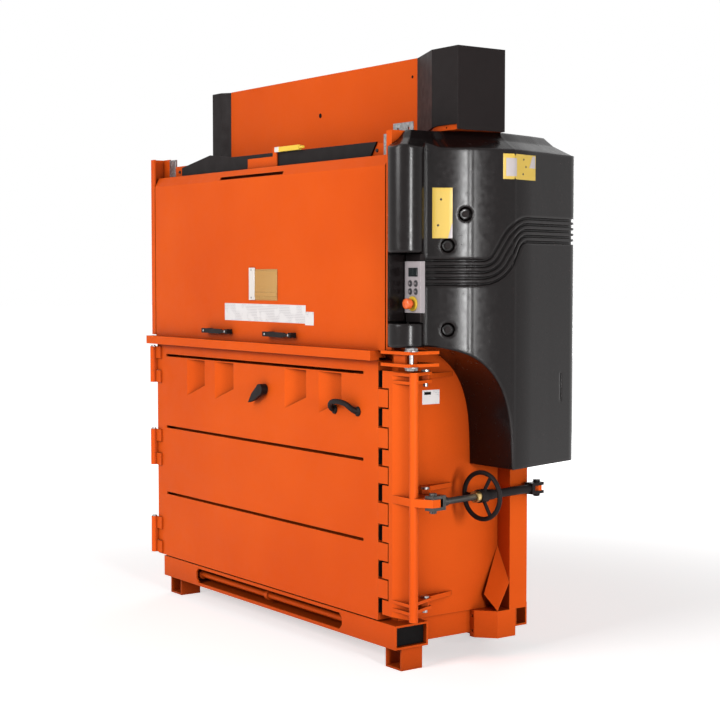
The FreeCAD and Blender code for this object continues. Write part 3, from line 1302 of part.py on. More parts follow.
def screw_axis(share, level):
    """A point on the flank between crease and corner, and the flank's outward normal."""
    start = Vector(size("crease_x"), size("crease_y"), level)
    end = Vector(size("flank_x"), size("flank_y"), level)
    along = (end - start).normalize()
    return start + (end - start) * share, Vector(along.y, -along.x, 0)


def facet_slot():
    """A narrow upright slot in the cover's rear facet."""
    start = Vector(size("tail_x"), size("tail_y"), size("slot_cut_low"))
    end = Vector(size("end_x"), size("end_y"), size("slot_cut_low"))
    along = (end - start).normalize()
    wide, deep = size("slot_cut_wide"), size("slot_cut_deep")
    high = size("slot_cut_high - slot_cut_low")
    slot = Part.makeBox(2 * deep, wide, high, Vector(-deep, -wide / 2, 0))
    turn = math.degrees(math.atan2(-along.x, along.y))
    slot.Placement = FreeCAD.Placement(start + (end - start) * SLOT_SHARE,
                                       Rotation(Vector(0, 0, 1), turn))
    return slot


def side_cover():
    recess = Part.makeBox(size("recess_right + 30 - recess_left"), size("recess_back + 60"),
                          size("recess_high - recess_low"),
                          Vector(size("recess_left"), -60, size("recess_low")))
    form = cover_body()
    tools = [cover_hollow(), cover_underside(), recess, facet_slot(), *groove_cuts()]
    screws = []
    for share, level in SCREW_PLACES:
        place, outward = screw_axis(share, level)
        deep = size("screw_recess_deep")
        tools.append(Part.makeCylinder(size("screw_recess") / 2, deep + 10,
                                       place + outward * 10, -outward))
        screws.append(own_shape(Part.makeCylinder(size("screw_head") / 2, deep * 0.6,
                                                  place - outward * deep, outward)))
    node("side_cover", own_shape(form.cut(tools)))
    node("cover_screws", *screws)


# ---- controls ----

def control_panel():
    plate = box(("panel_left", "panel_right"), ("control_front", "recess_back"),
                ("control_low", "control_high"))
    holes = [rod("y", (x, z), "control_front - 1", "recess_back + 1", "button + 2 * button_play")
             for x, z in button_places()]
    holes.append(rod("y", ("stop_x", "stop_level"), "control_front - 1", "recess_back + 1",
                     "stop_stem + 2 * button_play"))
    node("control_panel", cut(plate, *holes))
    node("display", box(("display_left", "display_right"),
                        ("control_front - display_thick", "control_front"),
                        ("display_low", "display_high")))


def button_places():
    return [(x, z) for z in ("button_row_high", "button_row_low")
            for x in ("button_left", "button_right")]


def buttons():
    for number, place in enumerate(button_places(), 1):
        node(f"button_{number}", rod("y", place, "control_front - button_proud",
                                     "control_front - button_proud + button_long", "button"))
    centre = ("stop_x", "stop_level")
    front = "control_front - stop_ring_thick"
    node("stop_ring", cut(rod("y", centre, front, "control_front", "stop_ring"),
                          rod("y", centre, front, "control_front",
                              "stop_stem + 2 * button_play")))
    head = rod("y", centre, "control_front - stop_proud", "control_front - stop_proud + 16",
               "stop_head")
    stem = rod("y", centre, "control_front - stop_proud",
               "control_front - stop_proud + stop_long", "stop_stem")
    node("emergency_stop", fuse(head, stem))


# ---- pump set ----

def pump_set():
    tank = box(("tank_left", "tank_right"), ("tank_front", "tank_rear"),
               ("column_high", "tank_high"))
    node("oil_tank", tank)
    centre = ("(tank_left + tank_right) / 2", "(tank_front + tank_rear) / 2")
    pieces = [rod("z", centre, "tank_high", "tank_high + motor_long", "motor")]
    for level in range(4):
        start = f"tank_high + 30 + {level} * 44"
        pieces.append(rod("z", centre, start, f"{start} + 12", "motor_fin"))
    node("pump_motor", fuse(*pieces))


def build():
    fill_sheet()
    for make in (front_beam, window_bar, feet, base_frame, rear_columns, outriggers,
                 corner_gussets, chamber_walls, chamber_floor, chamber_back, bale_door,
                 door_teeth, door_hinges, door_lever, door_grip, lock_plate, hinge_brackets,
                 lock_pins, turnbuckle_bracket, turnbuckle, loading_hatch, hatch_ledge, hatch_handles,
                 hatch_rollers, guides, front_top, zinc_fittings, crown, guard_panel, towers,
                 shoulder_plate, rams, press_platen, side_cover, control_panel, buttons,
                 pump_set):
        make()
    doc.recompute()


def shift_to_origin():
    """Put the origin under the middle of the whole machine."""
    bounds = FreeCAD.BoundBox()
    for item in nodes:
        bounds.add(item.Shape.optimalBoundingBox(False, False))
    shift = Vector(-bounds.Center.x, -bounds.Center.y, -bounds.ZMin)
    for item in nodes:
        item.Placement = FreeCAD.Placement(shift, Rotation()) * item.Placement
    doc.recompute()
    print("common shift", [round(v, 4) for v in shift])
    print("size", round(bounds.XLength, 2), round(bounds.YLength, 2), round(bounds.ZLength, 2))


def check_and_export():
    for item in doc.Objects:
        if "Invalid" in item.State or "Error" in item.State:
            raise RuntimeError(f"{item.Label} failed: {item.State}")
    for item in nodes:
        if item.Shape.isNull() or not item.Shape.isValid():
            raise RuntimeError(f"{item.Label} has no valid shape")
    os.makedirs("parts", exist_ok=True)
    for item in nodes:
        item.Shape.exportStep(f"parts/{item.Label}.step")
    print(len(nodes), "sub-parts written")


build()
shift_to_origin()
check_and_export()
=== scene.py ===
import json
import math
import bmesh
import bpy
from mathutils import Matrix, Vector
from mathutils.bvhtree import BVHTree


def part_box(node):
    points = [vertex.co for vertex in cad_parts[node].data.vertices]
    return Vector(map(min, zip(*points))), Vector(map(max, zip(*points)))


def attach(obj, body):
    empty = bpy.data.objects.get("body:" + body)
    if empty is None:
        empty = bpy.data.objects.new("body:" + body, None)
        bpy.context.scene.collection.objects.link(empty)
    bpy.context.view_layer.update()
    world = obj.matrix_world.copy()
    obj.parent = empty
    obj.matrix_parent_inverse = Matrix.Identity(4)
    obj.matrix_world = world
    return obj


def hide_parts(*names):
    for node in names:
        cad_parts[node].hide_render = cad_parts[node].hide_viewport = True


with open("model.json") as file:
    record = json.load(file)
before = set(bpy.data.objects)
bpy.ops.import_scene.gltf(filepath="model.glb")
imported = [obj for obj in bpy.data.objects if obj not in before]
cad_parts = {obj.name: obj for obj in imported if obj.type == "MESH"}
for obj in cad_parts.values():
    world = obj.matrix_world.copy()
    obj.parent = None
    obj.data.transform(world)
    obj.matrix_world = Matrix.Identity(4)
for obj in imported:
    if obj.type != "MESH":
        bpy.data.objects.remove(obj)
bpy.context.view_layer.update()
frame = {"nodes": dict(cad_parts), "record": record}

# The camera, in metres in the frame of the model.
CAMERA_PLACE = Vector((5.41557, -3.83317, 1.50386))
CAMERA_FORWARD = Vector((-0.81049379, 0.58305004, -0.05614695))
CAMERA_LENS = 76.612
SENSOR = 36.0

# What the layout calls X = 0 and Y = 0 lies here in the frame, in millimetres.
SHIFT = Vector((-92.8216, -401.0, 0.0))

# Each lamp: its place, the point that it faces, its width, its height and its watts.
LAMPS = (("key", (1.1, -7.9, 3.9), (-0.1, 0.0, 1.2), 3.0, 3.0, 440),
         ("strip", (8.9, -1.6, 1.65), (1.0, -0.2, 1.6), 1.3, 2.3, 480),
         ("back", (-5.0, 6.0, 2.2), (-0.1, 0.0, 1.2), 4.0, 3.0, 180))
WORLD_FILL = 0.15

# The floor is a square with this half side. Its glow grows between two distances from
# the middle, in metres, from the first strength to the second.
FLOOR_REACH = 60.0
FLOOR_COLOUR = (0.90, 0.90, 0.90, 1)
GLOW_FROM, GLOW_TO = 1.3, 4.5
GLOW_NEAR, GLOW_FAR = 0.52, 1.0
WHITE = (1, 1, 1, 1)

# Sheets and plates, in metres: how thick they are, and how far their undersides stand
# from the face below, where that is bare, under a sheet or under a plate.
SHEET, MARK, PLATE = 0.0005, 0.0006, 0.0010
ON_FACE, ON_SHEET, ON_PLATE = 0.00005, 0.0006, 0.0012

# How far in front of a face, in metres, the rays start that find it.
SHEET_RAY = 0.15
BOLT_RAY = 0.12

# The bottom and the top of each finger of the lock plate, in millimetres.
FINGERS = ((1075, 1140), (928, 996), (781, 841), (642, 706), (491, 551), (351, 412),
           (212, 268))

# Where the keys and the stop knob stand on the control panel, in millimetres.
KEY_COLUMNS = (981, 1015)
KEY_ROWS = (1468, 1438)
STOP_X, STOP_Z = 998, 1393

# How high the knob's dome stands, as a share of its radius.
STOP_DOME = 0.34

ORANGE = (0.80, 0.108, 0.009)
DEEP_ORANGE = (0.72, 0.088, 0.007)
# Lighter orange for the edges: wear, and a painted highlight along them.
WORN_LIT_EDGE_ORANGE = (0.92, 0.24, 0.05)
BLACK = (0.0050, 0.0030, 0.0030)
SOFT_BLACK = (0.0085, 0.0060, 0.0060)


# The ridges of the card in the holder: levels, and how far each stands out, in millimetres.
CARD_RIDGES = ((1394, 1.0), (1397, 4.0), (1401, 2.2), (1405, 4.2), (1408, 2.6), (1412, 5.2),
               (1419, 4.6), (1424, 5.6), (1427, 3.0), (1431, 4.4), (1436, 3.6), (1439, 5.0),
               (1443, 3.8), (1446, 4.6), (1450, 3.2), (1494, 2.8), (1498, 3.4), (1512, 3.0),
               (1516, 1.6), (1519, 3.8), (1522, 1.0))
CARD_SIDES = (-20, 152)


def at(x, y, z):
    """A point of the layout in millimetres as a point of the frame in metres."""
    return (Vector((x, y, z)) + SHIFT) / 1000


# How far the cover's shading leans (radians) at places along Y in the frame, in metres.
CROWN = [(-0.330, 0.0), (-0.290, -0.10), (-0.225, 0.0), (-0.173, 0.122), (-0.143, -0.126),
         (-0.069, 0.0), (0.004, 0.20), (0.036, -0.21), (0.134, 0.0), (0.400, 0.0)]


# ---------------------------------------------------------------- materials

class Shader:
    """One procedural material in the object's own coordinates, which are metres."""

    def __init__(self, name):
        self.material = bpy.data.materials.new(name)
        self.material.use_nodes = True
        self.nodes = self.material.node_tree.nodes
        self.links = self.material.node_tree.links
        self.surface = self.nodes["Principled BSDF"]
        self.place = self.add("ShaderNodeTexCoord").outputs["Object"]

    def join(self, socket, value):
        """Link a socket to the one that feeds it, or give it a fixed value."""
        if isinstance(value, bpy.types.NodeSocket):
            self.links.new(value, socket)
        else:
            socket.default_value = value

    def add(self, kind, **inputs):
        """A new node, with the inputs that are named, _ standing for a space."""
        made = self.nodes.new(kind)
        for name, value in inputs.items():
            self.join(made.inputs[name.replace("_", " ")], value)
        return made

    def plain(self, **values):
        """Values that are the same all over, on the shader's own sockets."""
        for name, value in values.items():
            self.surface.inputs[name.replace("_", " ")].default_value = value

    def stretched(self, x, y, z):
        """The place with each axis scaled."""
        mapping = self.add("ShaderNodeMapping", Vector=self.place)
        mapping.inputs["Scale"].default_value = (x, y, z)
        return mapping.outputs["Vector"]

    def noise(self, scale, detail=3.0, place=None):
        made = self.add("ShaderNodeTexNoise", Vector=place or self.place, Scale=scale,
                        Detail=detail)
        return made.outputs["Fac"]

    def spread(self, value, low, high, to_low, to_high):
        """A value mapped from one range to another, and held at its ends."""
        made = self.nodes.new("ShaderNodeMapRange")
        made.inputs["From Min"].default_value = low
        made.inputs["From Max"].default_value = high
        made.inputs["To Min"].default_value = to_low
        made.inputs["To Max"].default_value = to_high
        self.links.new(value, made.inputs["Value"])
        return made.outputs["Result"]

    def times(self, first, second):
        made = self.nodes.new("ShaderNodeMath")
        made.operation = "MULTIPLY"
        self.join(made.inputs[0], first)
        self.join(made.inputs[1], second)
        return made.outputs["Value"]

    def vectors(self, operation, first, second=None):
        """One step of vector arithmetic on sockets or fixed vectors."""
        made = self.nodes.new("ShaderNodeVectorMath")
        made.operation = operation
        self.join(made.inputs[0], first)
        if second is not None:
            self.join(made.inputs[1], second)
        return made.outputs["Value" if operation == "DOT_PRODUCT" else "Vector"]

    def blend(self, share, first, second):
        """The first colour where share is 0, the second where it is 1."""
        made = self.nodes.new("ShaderNodeMix")
        made.data_type = "RGBA"
        self.links.new(share, made.inputs["Factor"])
        for socket, value in ((made.inputs[6], first), (made.inputs[7], second)):
            self.join(socket, (*value, 1.0) if isinstance(value, tuple) else value)
        return made.outputs[2]

    def rounded(self, radius, samples=4):
        """The face's direction with the edges softened by a radius."""
        made = self.nodes.new("ShaderNodeBevel")
        made.samples = samples
        made.inputs["Radius"].default_value = radius
        return made.outputs["Normal"]

    def crowned(self, normal):
        """The cover's flats shaded as the one crowned face that they stand for."""
        along = self.add("ShaderNodeSeparateXYZ", Vector=self.place).outputs["Y"]
        curve = self.nodes.new("ShaderNodeFloatCurve")
        points = curve.mapping.curves[0].points
        low, high = CROWN[0][0], CROWN[-1][0]
        rows = [((y - low) / (high - low), 0.5 + turn) for y, turn in CROWN]
        points[0].location, points[1].location = rows[0], rows[-1]
        for place, level in rows[1:-1]:
            points.new(place, level)
        for point in points:
            point.handle_type = "VECTOR"
        curve.mapping.update()
        self.links.new(self.spread(along, low, high, 0.0, 1.0), curve.inputs["Value"])
        turn = self.spread(curve.outputs["Value"], 0.0, 1.0, -0.5, 0.5)
        lean = self.nodes.new("ShaderNodeVectorMath")
        lean.operation = "SCALE"
        self.join(lean.inputs[0], self.vectors("CROSS_PRODUCT", (0, 0, 1), normal))
        self.join(lean.inputs["Scale"], turn)
        return self.vectors("NORMALIZE",
                            self.vectors("ADD", normal, lean.outputs["Vector"]))

    def edges(self, normal):
        """1 along sharp edges, 0 on flat and gently curved faces."""
        face = self.nodes.new("ShaderNodeNewGeometry").outputs["Normal"]
        return self.spread(self.vectors("DOT_PRODUCT", normal, face), 0.995, 0.80, 0.0, 1.0)

    def hollows(self, distance):
        """1 in the open, falling to 0 deep in a corner."""
        made = self.nodes.new("ShaderNodeAmbientOcclusion")
        made.samples = 6
        made.inputs["Distance"].default_value = distance
        return made.outputs["AO"]

    def bump(self, height, depth, strength=1.0, normal=None):
        made = self.nodes.new("ShaderNodeBump")
        made.inputs["Distance"].default_value = depth
        made.inputs["Strength"].default_value = strength
        self.links.new(height, made.inputs["Height"])
        if normal is not None:
            self.links.new(normal, made.inputs["Normal"])
        return made.outputs["Normal"]

    def finish(self, colour, roughness, normal):
        """The material, with what varies over it linked to the surface."""
        for name, value in (("Base Color", colour), ("Roughness", roughness),
                            ("Normal", normal)):
            self.links.new(value, self.surface.inputs[name])
        return self.material


def scaled(colour, share):
    """A colour made darker or lighter, with no part above 1."""
    return tuple(min(1.0, share * part) for part in colour)


def coated(name, main, deep, edge, rough, shine=0.5):
    """Powder coat on steel: cloudy colour, orange peel, edges lighter for wear and a painted
    highlight, and painted shade in corners and hollows.
    """
    shader = Shader(name)
    normal = shader.rounded(0.0022)
    clouds = shader.spread(shader.noise(1.3, 2.0), 0.35, 0.65, 0.0, 1.0)
    colour = shader.blend(clouds, main, deep)
    # Edges lighter in colour: wear, and a painted highlight along them.
    worn_and_lit_edges = shader.times(shader.edges(normal), shader.noise(38.0, 4.0))
    colour = shader.blend(worn_and_lit_edges, colour, edge)
    # Painted shade: darker in corners, and across wider hollows below.
    corner_shade = shader.spread(shader.hollows(0.035), 0.25, 0.85, 0.55, 0.0)
    colour = shader.blend(corner_shade, colour, scaled(deep, 0.35))
    shade = shader.spread(shader.hollows(0.22), 0.35, 0.97, 0.80, 0.0)
    colour = shader.blend(shade, colour, scaled(deep, 0.30))
    roughness = shader.spread(shader.noise(24.0, 5.0), 0.3, 0.7, rough - 0.05, rough + 0.08)
    peel = shader.noise(420.0, 2.0)
    shader.plain(Metallic=0.0, Specular_IOR_Level=shine)
    return shader.finish(colour, roughness, shader.bump(peel, 0.00012, 0.35, normal))


def moulded(name, main, light, rough, grain=1500.0, shine=0.5, soft=0.0, edge_wear_and_highlight=2.2):
    """Moulded plastic with a fine grain, faint flow marks, edges lighter for wear and a
    painted highlight, and painted shade in corners.

    grain is the scale of the grain, shine the strength of the reflection, soft the radius of
    the edges of a crowned face, and the last argument how much lighter the edges are, for wear
    and a painted highlight.
    """
    shader = Shader(name)
    normal = shader.rounded(0.0016)
    # Painted shade: darker in corners.
    corner_shade = shader.spread(shader.hollows(0.03), 0.30, 0.90, 0.75, 0.0)
    marks = shader.spread(shader.noise(3.0, 3.0, shader.stretched(1.0, 1.0, 0.25)),
                          0.35, 0.65, 0.0, 0.5)
    colour = shader.blend(marks, main, light)
    # Edges lighter in colour: wear, and a painted highlight along them.
    worn_and_lit_edges = shader.times(shader.edges(normal), shader.noise(60.0, 3.0))
    colour = shader.blend(worn_and_lit_edges, colour, scaled(light, edge_wear_and_highlight))
    colour = shader.blend(corner_shade, colour, scaled(main, 0.2))
    if soft > 0:
        normal = shader.crowned(shader.rounded(soft, 8))
    roughness = shader.spread(shader.noise(45.0, 4.0), 0.3, 0.7, rough - 0.04, rough + 0.06)
    shader.plain(Metallic=0.0, Specular_IOR_Level=shine)
    return shader.finish(colour, roughness,
                         shader.bump(shader.noise(grain, 2.0), 0.00003, 0.35, normal))


def threaded(name, main, dark, along, pitch):
    """A threaded rod: turns of thread across the direction along, with painted shade in the
    roots and lighter crests.
    """
    shader = Shader(name)
    distance = shader.vectors("DOT_PRODUCT", shader.place, along)
    turn = shader.nodes.new("ShaderNodeMath")
    turn.operation = "SINE"
    shader.links.new(shader.times(distance, 2 * math.pi / pitch), turn.inputs[0])
    height = shader.spread(turn.outputs["Value"], -1.0, 1.0, 0.0, 1.0)
    colour = shader.blend(height, dark, main)
    roughness = shader.spread(shader.noise(60.0, 4.0), 0.3, 0.7, 0.30, 0.46)
    shader.plain(Metallic=0.85)
    return shader.finish(colour, roughness, shader.bump(height, 0.0014))


def metal(name, main, dark, rough, lines=(1.0, 1.0, 14.0)):
    """Drawn or turned metal with fine lines and a little tarnish."""
    shader = Shader(name)
    normal = shader.rounded(0.0010)
    drawn = shader.noise(260.0, 3.0, shader.stretched(*lines))
    tarnish = shader.spread(shader.noise(55.0, 4.0), 0.4, 0.7, 0.0, 0.7)
    colour = shader.blend(tarnish, main, dark)
    roughness = shader.spread(drawn, 0.3, 0.7, rough - 0.07, rough + 0.09)
    shader.plain(Metallic=1.0)
    return shader.finish(colour, roughness, shader.bump(drawn, 0.00006, 0.5, normal))


def galvanised(name):
    """Zinc with its spangle."""
    shader = Shader(name)
    normal = shader.rounded(0.0012)
    cells = shader.nodes.new("ShaderNodeTexVoronoi")
    cells.inputs["Scale"].default_value = 140.0
    shader.links.new(shader.place, cells.inputs["Vector"])
    tone = shader.add("ShaderNodeSeparateColor", Color=cells.outputs["Color"]).outputs[0]
    colour = shader.blend(tone, (0.20, 0.195, 0.195), (0.36, 0.35, 0.35))
    roughness = shader.spread(tone, 0.0, 1.0, 0.34, 0.50)
    shader.plain(Metallic=1.0)
    return shader.finish(colour, roughness,
                         shader.bump(shader.noise(300.0, 3.0), 0.00006, 0.4, normal))


def dark_glass(name):
    """The display's window: near black, with a faint film of fingermarks."""
    shader = Shader(name)
    marks = shader.noise(90.0, 4.0)
    colour = shader.blend(marks, (0.010, 0.013, 0.014), (0.024, 0.030, 0.031))
    shader.plain(Metallic=0.0, Specular_IOR_Level=0.6)
    return shader.finish(colour, shader.spread(marks, 0.3, 0.7, 0.06, 0.22),
                         shader.bump(marks, 0.00003, 0.3))


def printed(name, ground, ink, share, across=60.0, rows=150.0):
    """A laminated sheet with rows of plain bars, in the sheet's own flat coordinates."""
    shader = Shader(name)
    flat = shader.add("ShaderNodeTexCoord").outputs["UV"]
    bars = shader.add("ShaderNodeTexBrick", Vector=flat)
    bars.inputs["Scale"].default_value = 1.0
    bars.inputs["Brick Width"].default_value = 1.0 / across
    bars.inputs["Row Height"].default_value = 1.0 / rows
    bars.inputs["Mortar Size"].default_value = 0.28 / rows
    bars.inputs["Mortar Smooth"].default_value = 0.3
    patches = shader.add("ShaderNodeTexNoise", Vector=flat, Scale=14.0)
    shown = shader.spread(patches.outputs["Fac"], 0.46, 0.52, 0.0, share)
    ink_here = shader.times(shader.spread(bars.outputs["Fac"], 0.0, 1.0, 1.0, 0.0), shown)
    colour = shader.blend(ink_here, ground, ink)
    roughness = shader.spread(shader.noise(70.0), 0.3, 0.7, 0.28, 0.40)
    shader.plain(Metallic=0.0)
    return shader.finish(colour, roughness,
                         shader.bump(shader.noise(500.0), 0.00004, 0.3))


MATERIALS = {
    # The third colour of each powder coat paints its edges: wear, and a painted highlight.
    "orange_paint": coated("orange_powder_coat", ORANGE, DEEP_ORANGE, WORN_LIT_EDGE_ORANGE, 0.44,
                           0.07),
    "black_paint": coated("black_powder_coat", (0.015, 0.011, 0.011), (0.011, 0.008, 0.008),
                          (0.070, 0.060, 0.058), 0.50, 0.10),
    # The shell's edges are painted many times lighter: mostly a painted highlight, with wear.
    "black_plastic": moulded("black_moulded_shell", BLACK, SOFT_BLACK, 0.22, grain=900.0,
                             shine=0.24, soft=0.016, edge_wear_and_highlight=14.0),
    "steel": metal("bright_steel", (0.40, 0.39, 0.39), (0.20, 0.19, 0.185), 0.30),
    "zinc": galvanised("galvanised_steel"),
    "brass": metal("turned_brass", (0.80, 0.55, 0.22), (0.45, 0.27, 0.09), 0.28),
    "yellow_plastic": moulded("yellow_moulding", (0.86, 0.56, 0.03), (0.90, 0.64, 0.09), 0.40),
    "grey_plastic": moulded("grey_panel", (0.36, 0.32, 0.33), (0.44, 0.40, 0.41), 0.42),
    "key_plastic": moulded("dark_keys", (0.045, 0.042, 0.046), (0.075, 0.070, 0.075), 0.45),
    "red_plastic": moulded("orange_red_knob", (0.80, 0.115, 0.018), (0.86, 0.16, 0.03), 0.24),
    "screen": dark_glass("display_glass"),
}
WHITE_SHEET = printed("white_sheet", (0.80, 0.77, 0.76), (0.40, 0.37, 0.38), 0.55)
YELLOW_SHEET = moulded("yellow_sheet", (0.64, 0.42, 0.05), (0.70, 0.49, 0.085), 0.36)
GREY_SHEET = moulded("grey_sheet", (0.46, 0.41, 0.41), (0.54, 0.49, 0.49), 0.40)
PALE_SHEET = moulded("pale_sheet", (0.78, 0.72, 0.66), (0.84, 0.80, 0.76), 0.40)
TAN_CARD = moulded("tan_card", (0.52, 0.28, 0.085), (0.62, 0.37, 0.14), 0.62, grain=700.0,
                   shine=0.3)
DARK_STEEL = metal("blackened_steel", (0.055, 0.052, 0.050), (0.030, 0.026, 0.024), 0.40)
RUBBER = moulded("black_rubber", (0.0035, 0.003, 0.003), (0.007, 0.006, 0.006), 0.75,
                 grain=600.0, shine=0.1)
PALE_KEY = moulded("pale_key_cap", (0.20, 0.17, 0.175), (0.28, 0.24, 0.25), 0.45)
CLEAR_WINDOW = dark_glass("display_window")
THREAD = threaded("black_thread", (0.10, 0.095, 0.09), (0.012, 0.010, 0.010),
                  along=(0.1514, -0.9885, 0.0), pitch=0.004)

# Nodes whose finish differs from the one that their slot stands for.
FINISH = {"window_bar": MATERIALS["orange_paint"], "front_rod": THREAD}


def dress_nodes():
    """Each node of the frame gets the material of its slot."""
    for row in frame["record"]["subparts"]:
        node = frame["nodes"][row["node"]]
        node.data.materials.clear()
        node.data.materials.append(FINISH.get(row["node"], MATERIALS[row["material_slot"]]))


# ------------------------------------------------------------------- pieces

def piece(name, mesh, material, body):
    """A new object from a bmesh, dressed, and riding on its body."""
    data = bpy.data.meshes.new(name)
    mesh.to_mesh(data)
    mesh.free()
    made = bpy.data.objects.new(name, data)
    bpy.context.scene.collection.objects.link(made)
    data.materials.append(material)
    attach(made, body)
    return made


TREES = {}


def surface(node, place, direction):
    """Where a ray from a point meets a node: the point and the face's direction."""
    if node not in TREES:
        mesh = bmesh.new()
        mesh.from_mesh(frame["nodes"][node].data)
        TREES[node] = BVHTree.FromBMesh(mesh)
        mesh.free()
    point, normal, _, _ = TREES[node].ray_cast(place, direction)
    if point is None:
        raise ValueError(f"no face of {node} is met from {tuple(place)}")
    return point, normal


def sheet_on(name, node, corners, direction, steps, thick, material, body,
             base=ON_FACE):
    """A thin sheet laid on a node: a grid between four corners, cast along direction."""
    mesh = bmesh.new()
    flat = mesh.loops.layers.uv.new("flat")
    first, second, third, fourth = corners
    wide = (second - first).length
    high = (fourth - first).length
    across, up = steps
    rows = []
    for j in range(up + 1):
        row = []
        for i in range(across + 1):
            u, v = i / across, j / up
            low = first.lerp(second, u)
            top = fourth.lerp(third, u)
            start = low.lerp(top, v) - direction * SHEET_RAY
            point, normal = surface(node, start, direction)
            if normal.dot(direction) > 0:
                normal = -normal
            lift = 0.0 if i in (0, across) or j in (0, up) else thick
            row.append(mesh.verts.new(point + normal * (lift + base)))
        rows.append(row)
    for j in range(up):
        for i in range(across):
            face = mesh.faces.new((rows[j][i], rows[j][i + 1], rows[j + 1][i + 1],
                                   rows[j + 1][i]))
            for loop, (a, b) in zip(face.loops, ((i, j), (i + 1, j), (i + 1, j + 1),
                                                 (i, j + 1))):
                loop[flat].uv = (wide * a / across, high * b / up)
    mesh.normal_update()
    made = piece(name, mesh, material, body)
    for polygon in made.data.polygons:
        polygon.use_smooth = True
    return made


def turned(mesh, place, axis, profile, sides=32):
    """A turned shape: rings at (distance along the axis, radius) in millimetres."""
    axis = Vector(axis).normalized()
    side = axis.orthogonal().normalized()
    up = axis.cross(side)
    rings = []
    for along, radius in profile:
        centre = place + axis * (along / 1000)
        if radius == 0:
            rings.append([mesh.verts.new(centre)])
            continue
        rings.append([mesh.verts.new(centre + (side * math.cos(2 * math.pi * k / sides)
                                               + up * math.sin(2 * math.pi * k / sides))
                                     * (radius / 1000)) for k in range(sides)])
    for low, high in zip(rings, rings[1:]):
        for k in range(sides):
            after = (k + 1) % sides
            corners = [low[k % len(low)], low[after % len(low)], high[after % len(high)],
                       high[k % len(high)]]
            mesh.faces.new(list(dict.fromkeys(corners)))


def slab(mesh, low, high, round_by):
    """A block between two corners of the layout, its edges rounded, in millimetres."""
    low, high = at(*low), at(*high)
    middle, reach = (low + high) / 2, high - low
    made = bmesh.ops.create_cube(mesh, size=1.0)["verts"]
    for vert in made:
        vert.co = middle + Vector([part * size for part, size in zip(vert.co, reach)])
    edges = {edge for vert in made for edge in vert.link_edges}
    bmesh.ops.bevel(mesh, geom=list(edges), offset=round_by / 1000, segments=3,
                    profile=0.5, affect="EDGES")


def bolt(mesh, place, axis, size):
    """A washer, a chamfered hexagon head and the end of the thread."""
    turned(mesh, place, axis, [(-0.5, 0), (-0.5, 1.05 * size), (0.16 * size, 1.05 * size),
                               (0.16 * size, 0)], 28)
    turned(mesh, place, axis, [(0.16 * size, 0), (0.16 * size, 0.90 * size),
                               (0.68 * size, 0.92 * size), (0.80 * size, 0.80 * size),
                               (0.80 * size, 0)], 6)
    turned(mesh, place, axis, [(0.8 * size, 0), (0.8 * size, 0.46 * size),
                               (1.02 * size, 0.46 * size), (1.08 * size, 0.38 * size),
                               (1.08 * size, 0)], 18)


def screw(mesh, place, axis, size):
    """A domed screw head with a hollow drive."""
    turned(mesh, place, axis, [(-0.4, 0), (-0.4, size), (0.15 * size, size),
                               (0.42 * size, 0.80 * size), (0.58 * size, 0.50 * size),
                               (0.60 * size, 0.34 * size), (0.30 * size, 0.30 * size),
                               (0.30 * size, 0)], 24)


def bead(mesh, start, end, radius):
    """A weld's bead with its ripples, half sunk in the corner that it fills."""
    start, end = at(*start), at(*end)
    length = (end - start).length * 1000
    count = max(6, round(length / (radius * 0.45)))
    profile = [(0, 0)]
    for k in range(count + 1):
        swell = 0.86 + 0.14 * abs(math.sin(1.05 * k)) + 0.03 * math.sin(0.37 * k)
        profile.append((length * k / count, radius * swell * (0.7 if k in (0, count) else 1)))
    profile.append((length, 0))
    turned(mesh, start, end - start, profile, 12)


def swept(mesh, points, radii, sides=20, fine=8):
    """A round bar along a smooth path through points of the layout, in millimetres."""
    path = [at(*point) for point in points]
    ends = [path[0] * 2 - path[1]] + path + [path[-1] * 2 - path[-2]]
    line, sizes = [], []
    for k in range(len(path) - 1):
        a, b, c, d = ends[k:k + 4]
        for step in range(fine + (k == len(path) - 2)):
            t = step / fine
            line.append(0.5 * (2 * b + (c - a) * t + (2 * a - 5 * b + 4 * c - d) * t ** 2
                               + (3 * b - 3 * c + d - a) * t ** 3))
            sizes.append((radii[k] * (1 - t) + radii[k + 1] * t) / 1000)
    side = (line[1] - line[0]).orthogonal().normalized()
    rings = []
    for k, place in enumerate(line):
        along = (line[min(k + 1, len(line) - 1)] - line[max(k - 1, 0)]).normalized()
        side = (side - along * side.dot(along)).normalized()
        up = along.cross(side)
        rings.append([mesh.verts.new(place + (side * math.cos(2 * math.pi * n / sides)
                                              + up * math.sin(2 * math.pi * n / sides))
                                     * sizes[k]) for n in range(sides)])
    for low, high in zip(rings, rings[1:]):
        for n in range(sides):
            after = (n + 1) % sides
            mesh.faces.new((low[n], low[after], high[after], high[n]))
    mesh.faces.new(rings[0])
    mesh.faces.new(list(reversed(rings[-1])))


def closed(name, mesh, material, body, smooth=False):
    """A piece from closed shapes, with its faces turned outwards."""
    bmesh.ops.recalc_face_normals(mesh, faces=list(mesh.faces))
    made = piece(name, mesh, material, body)
    for polygon in made.data.polygons:
        polygon.use_smooth = smooth
    return made


def on_faces(kind, node, points, direction, size):
    """Bolts or screws where rays from the points meet a node."""
    mesh = bmesh.new()
    direction = Vector(direction).normalized()
    for point in points:
        place, _ = surface(node, at(*point) - direction * BOLT_RAY, direction)
        kind(mesh, place, -direction, size)
    return mesh


# ------------------------------------------------------------------- studio

def arithmetic(nodes, links, operation, first, second):
    """The output of a node that works on two sockets."""
    made = nodes.new("ShaderNodeMath")
    made.operation = operation
    links.new(first, made.inputs[0])
    links.new(second, made.inputs[1])
    return made.outputs["Value"]


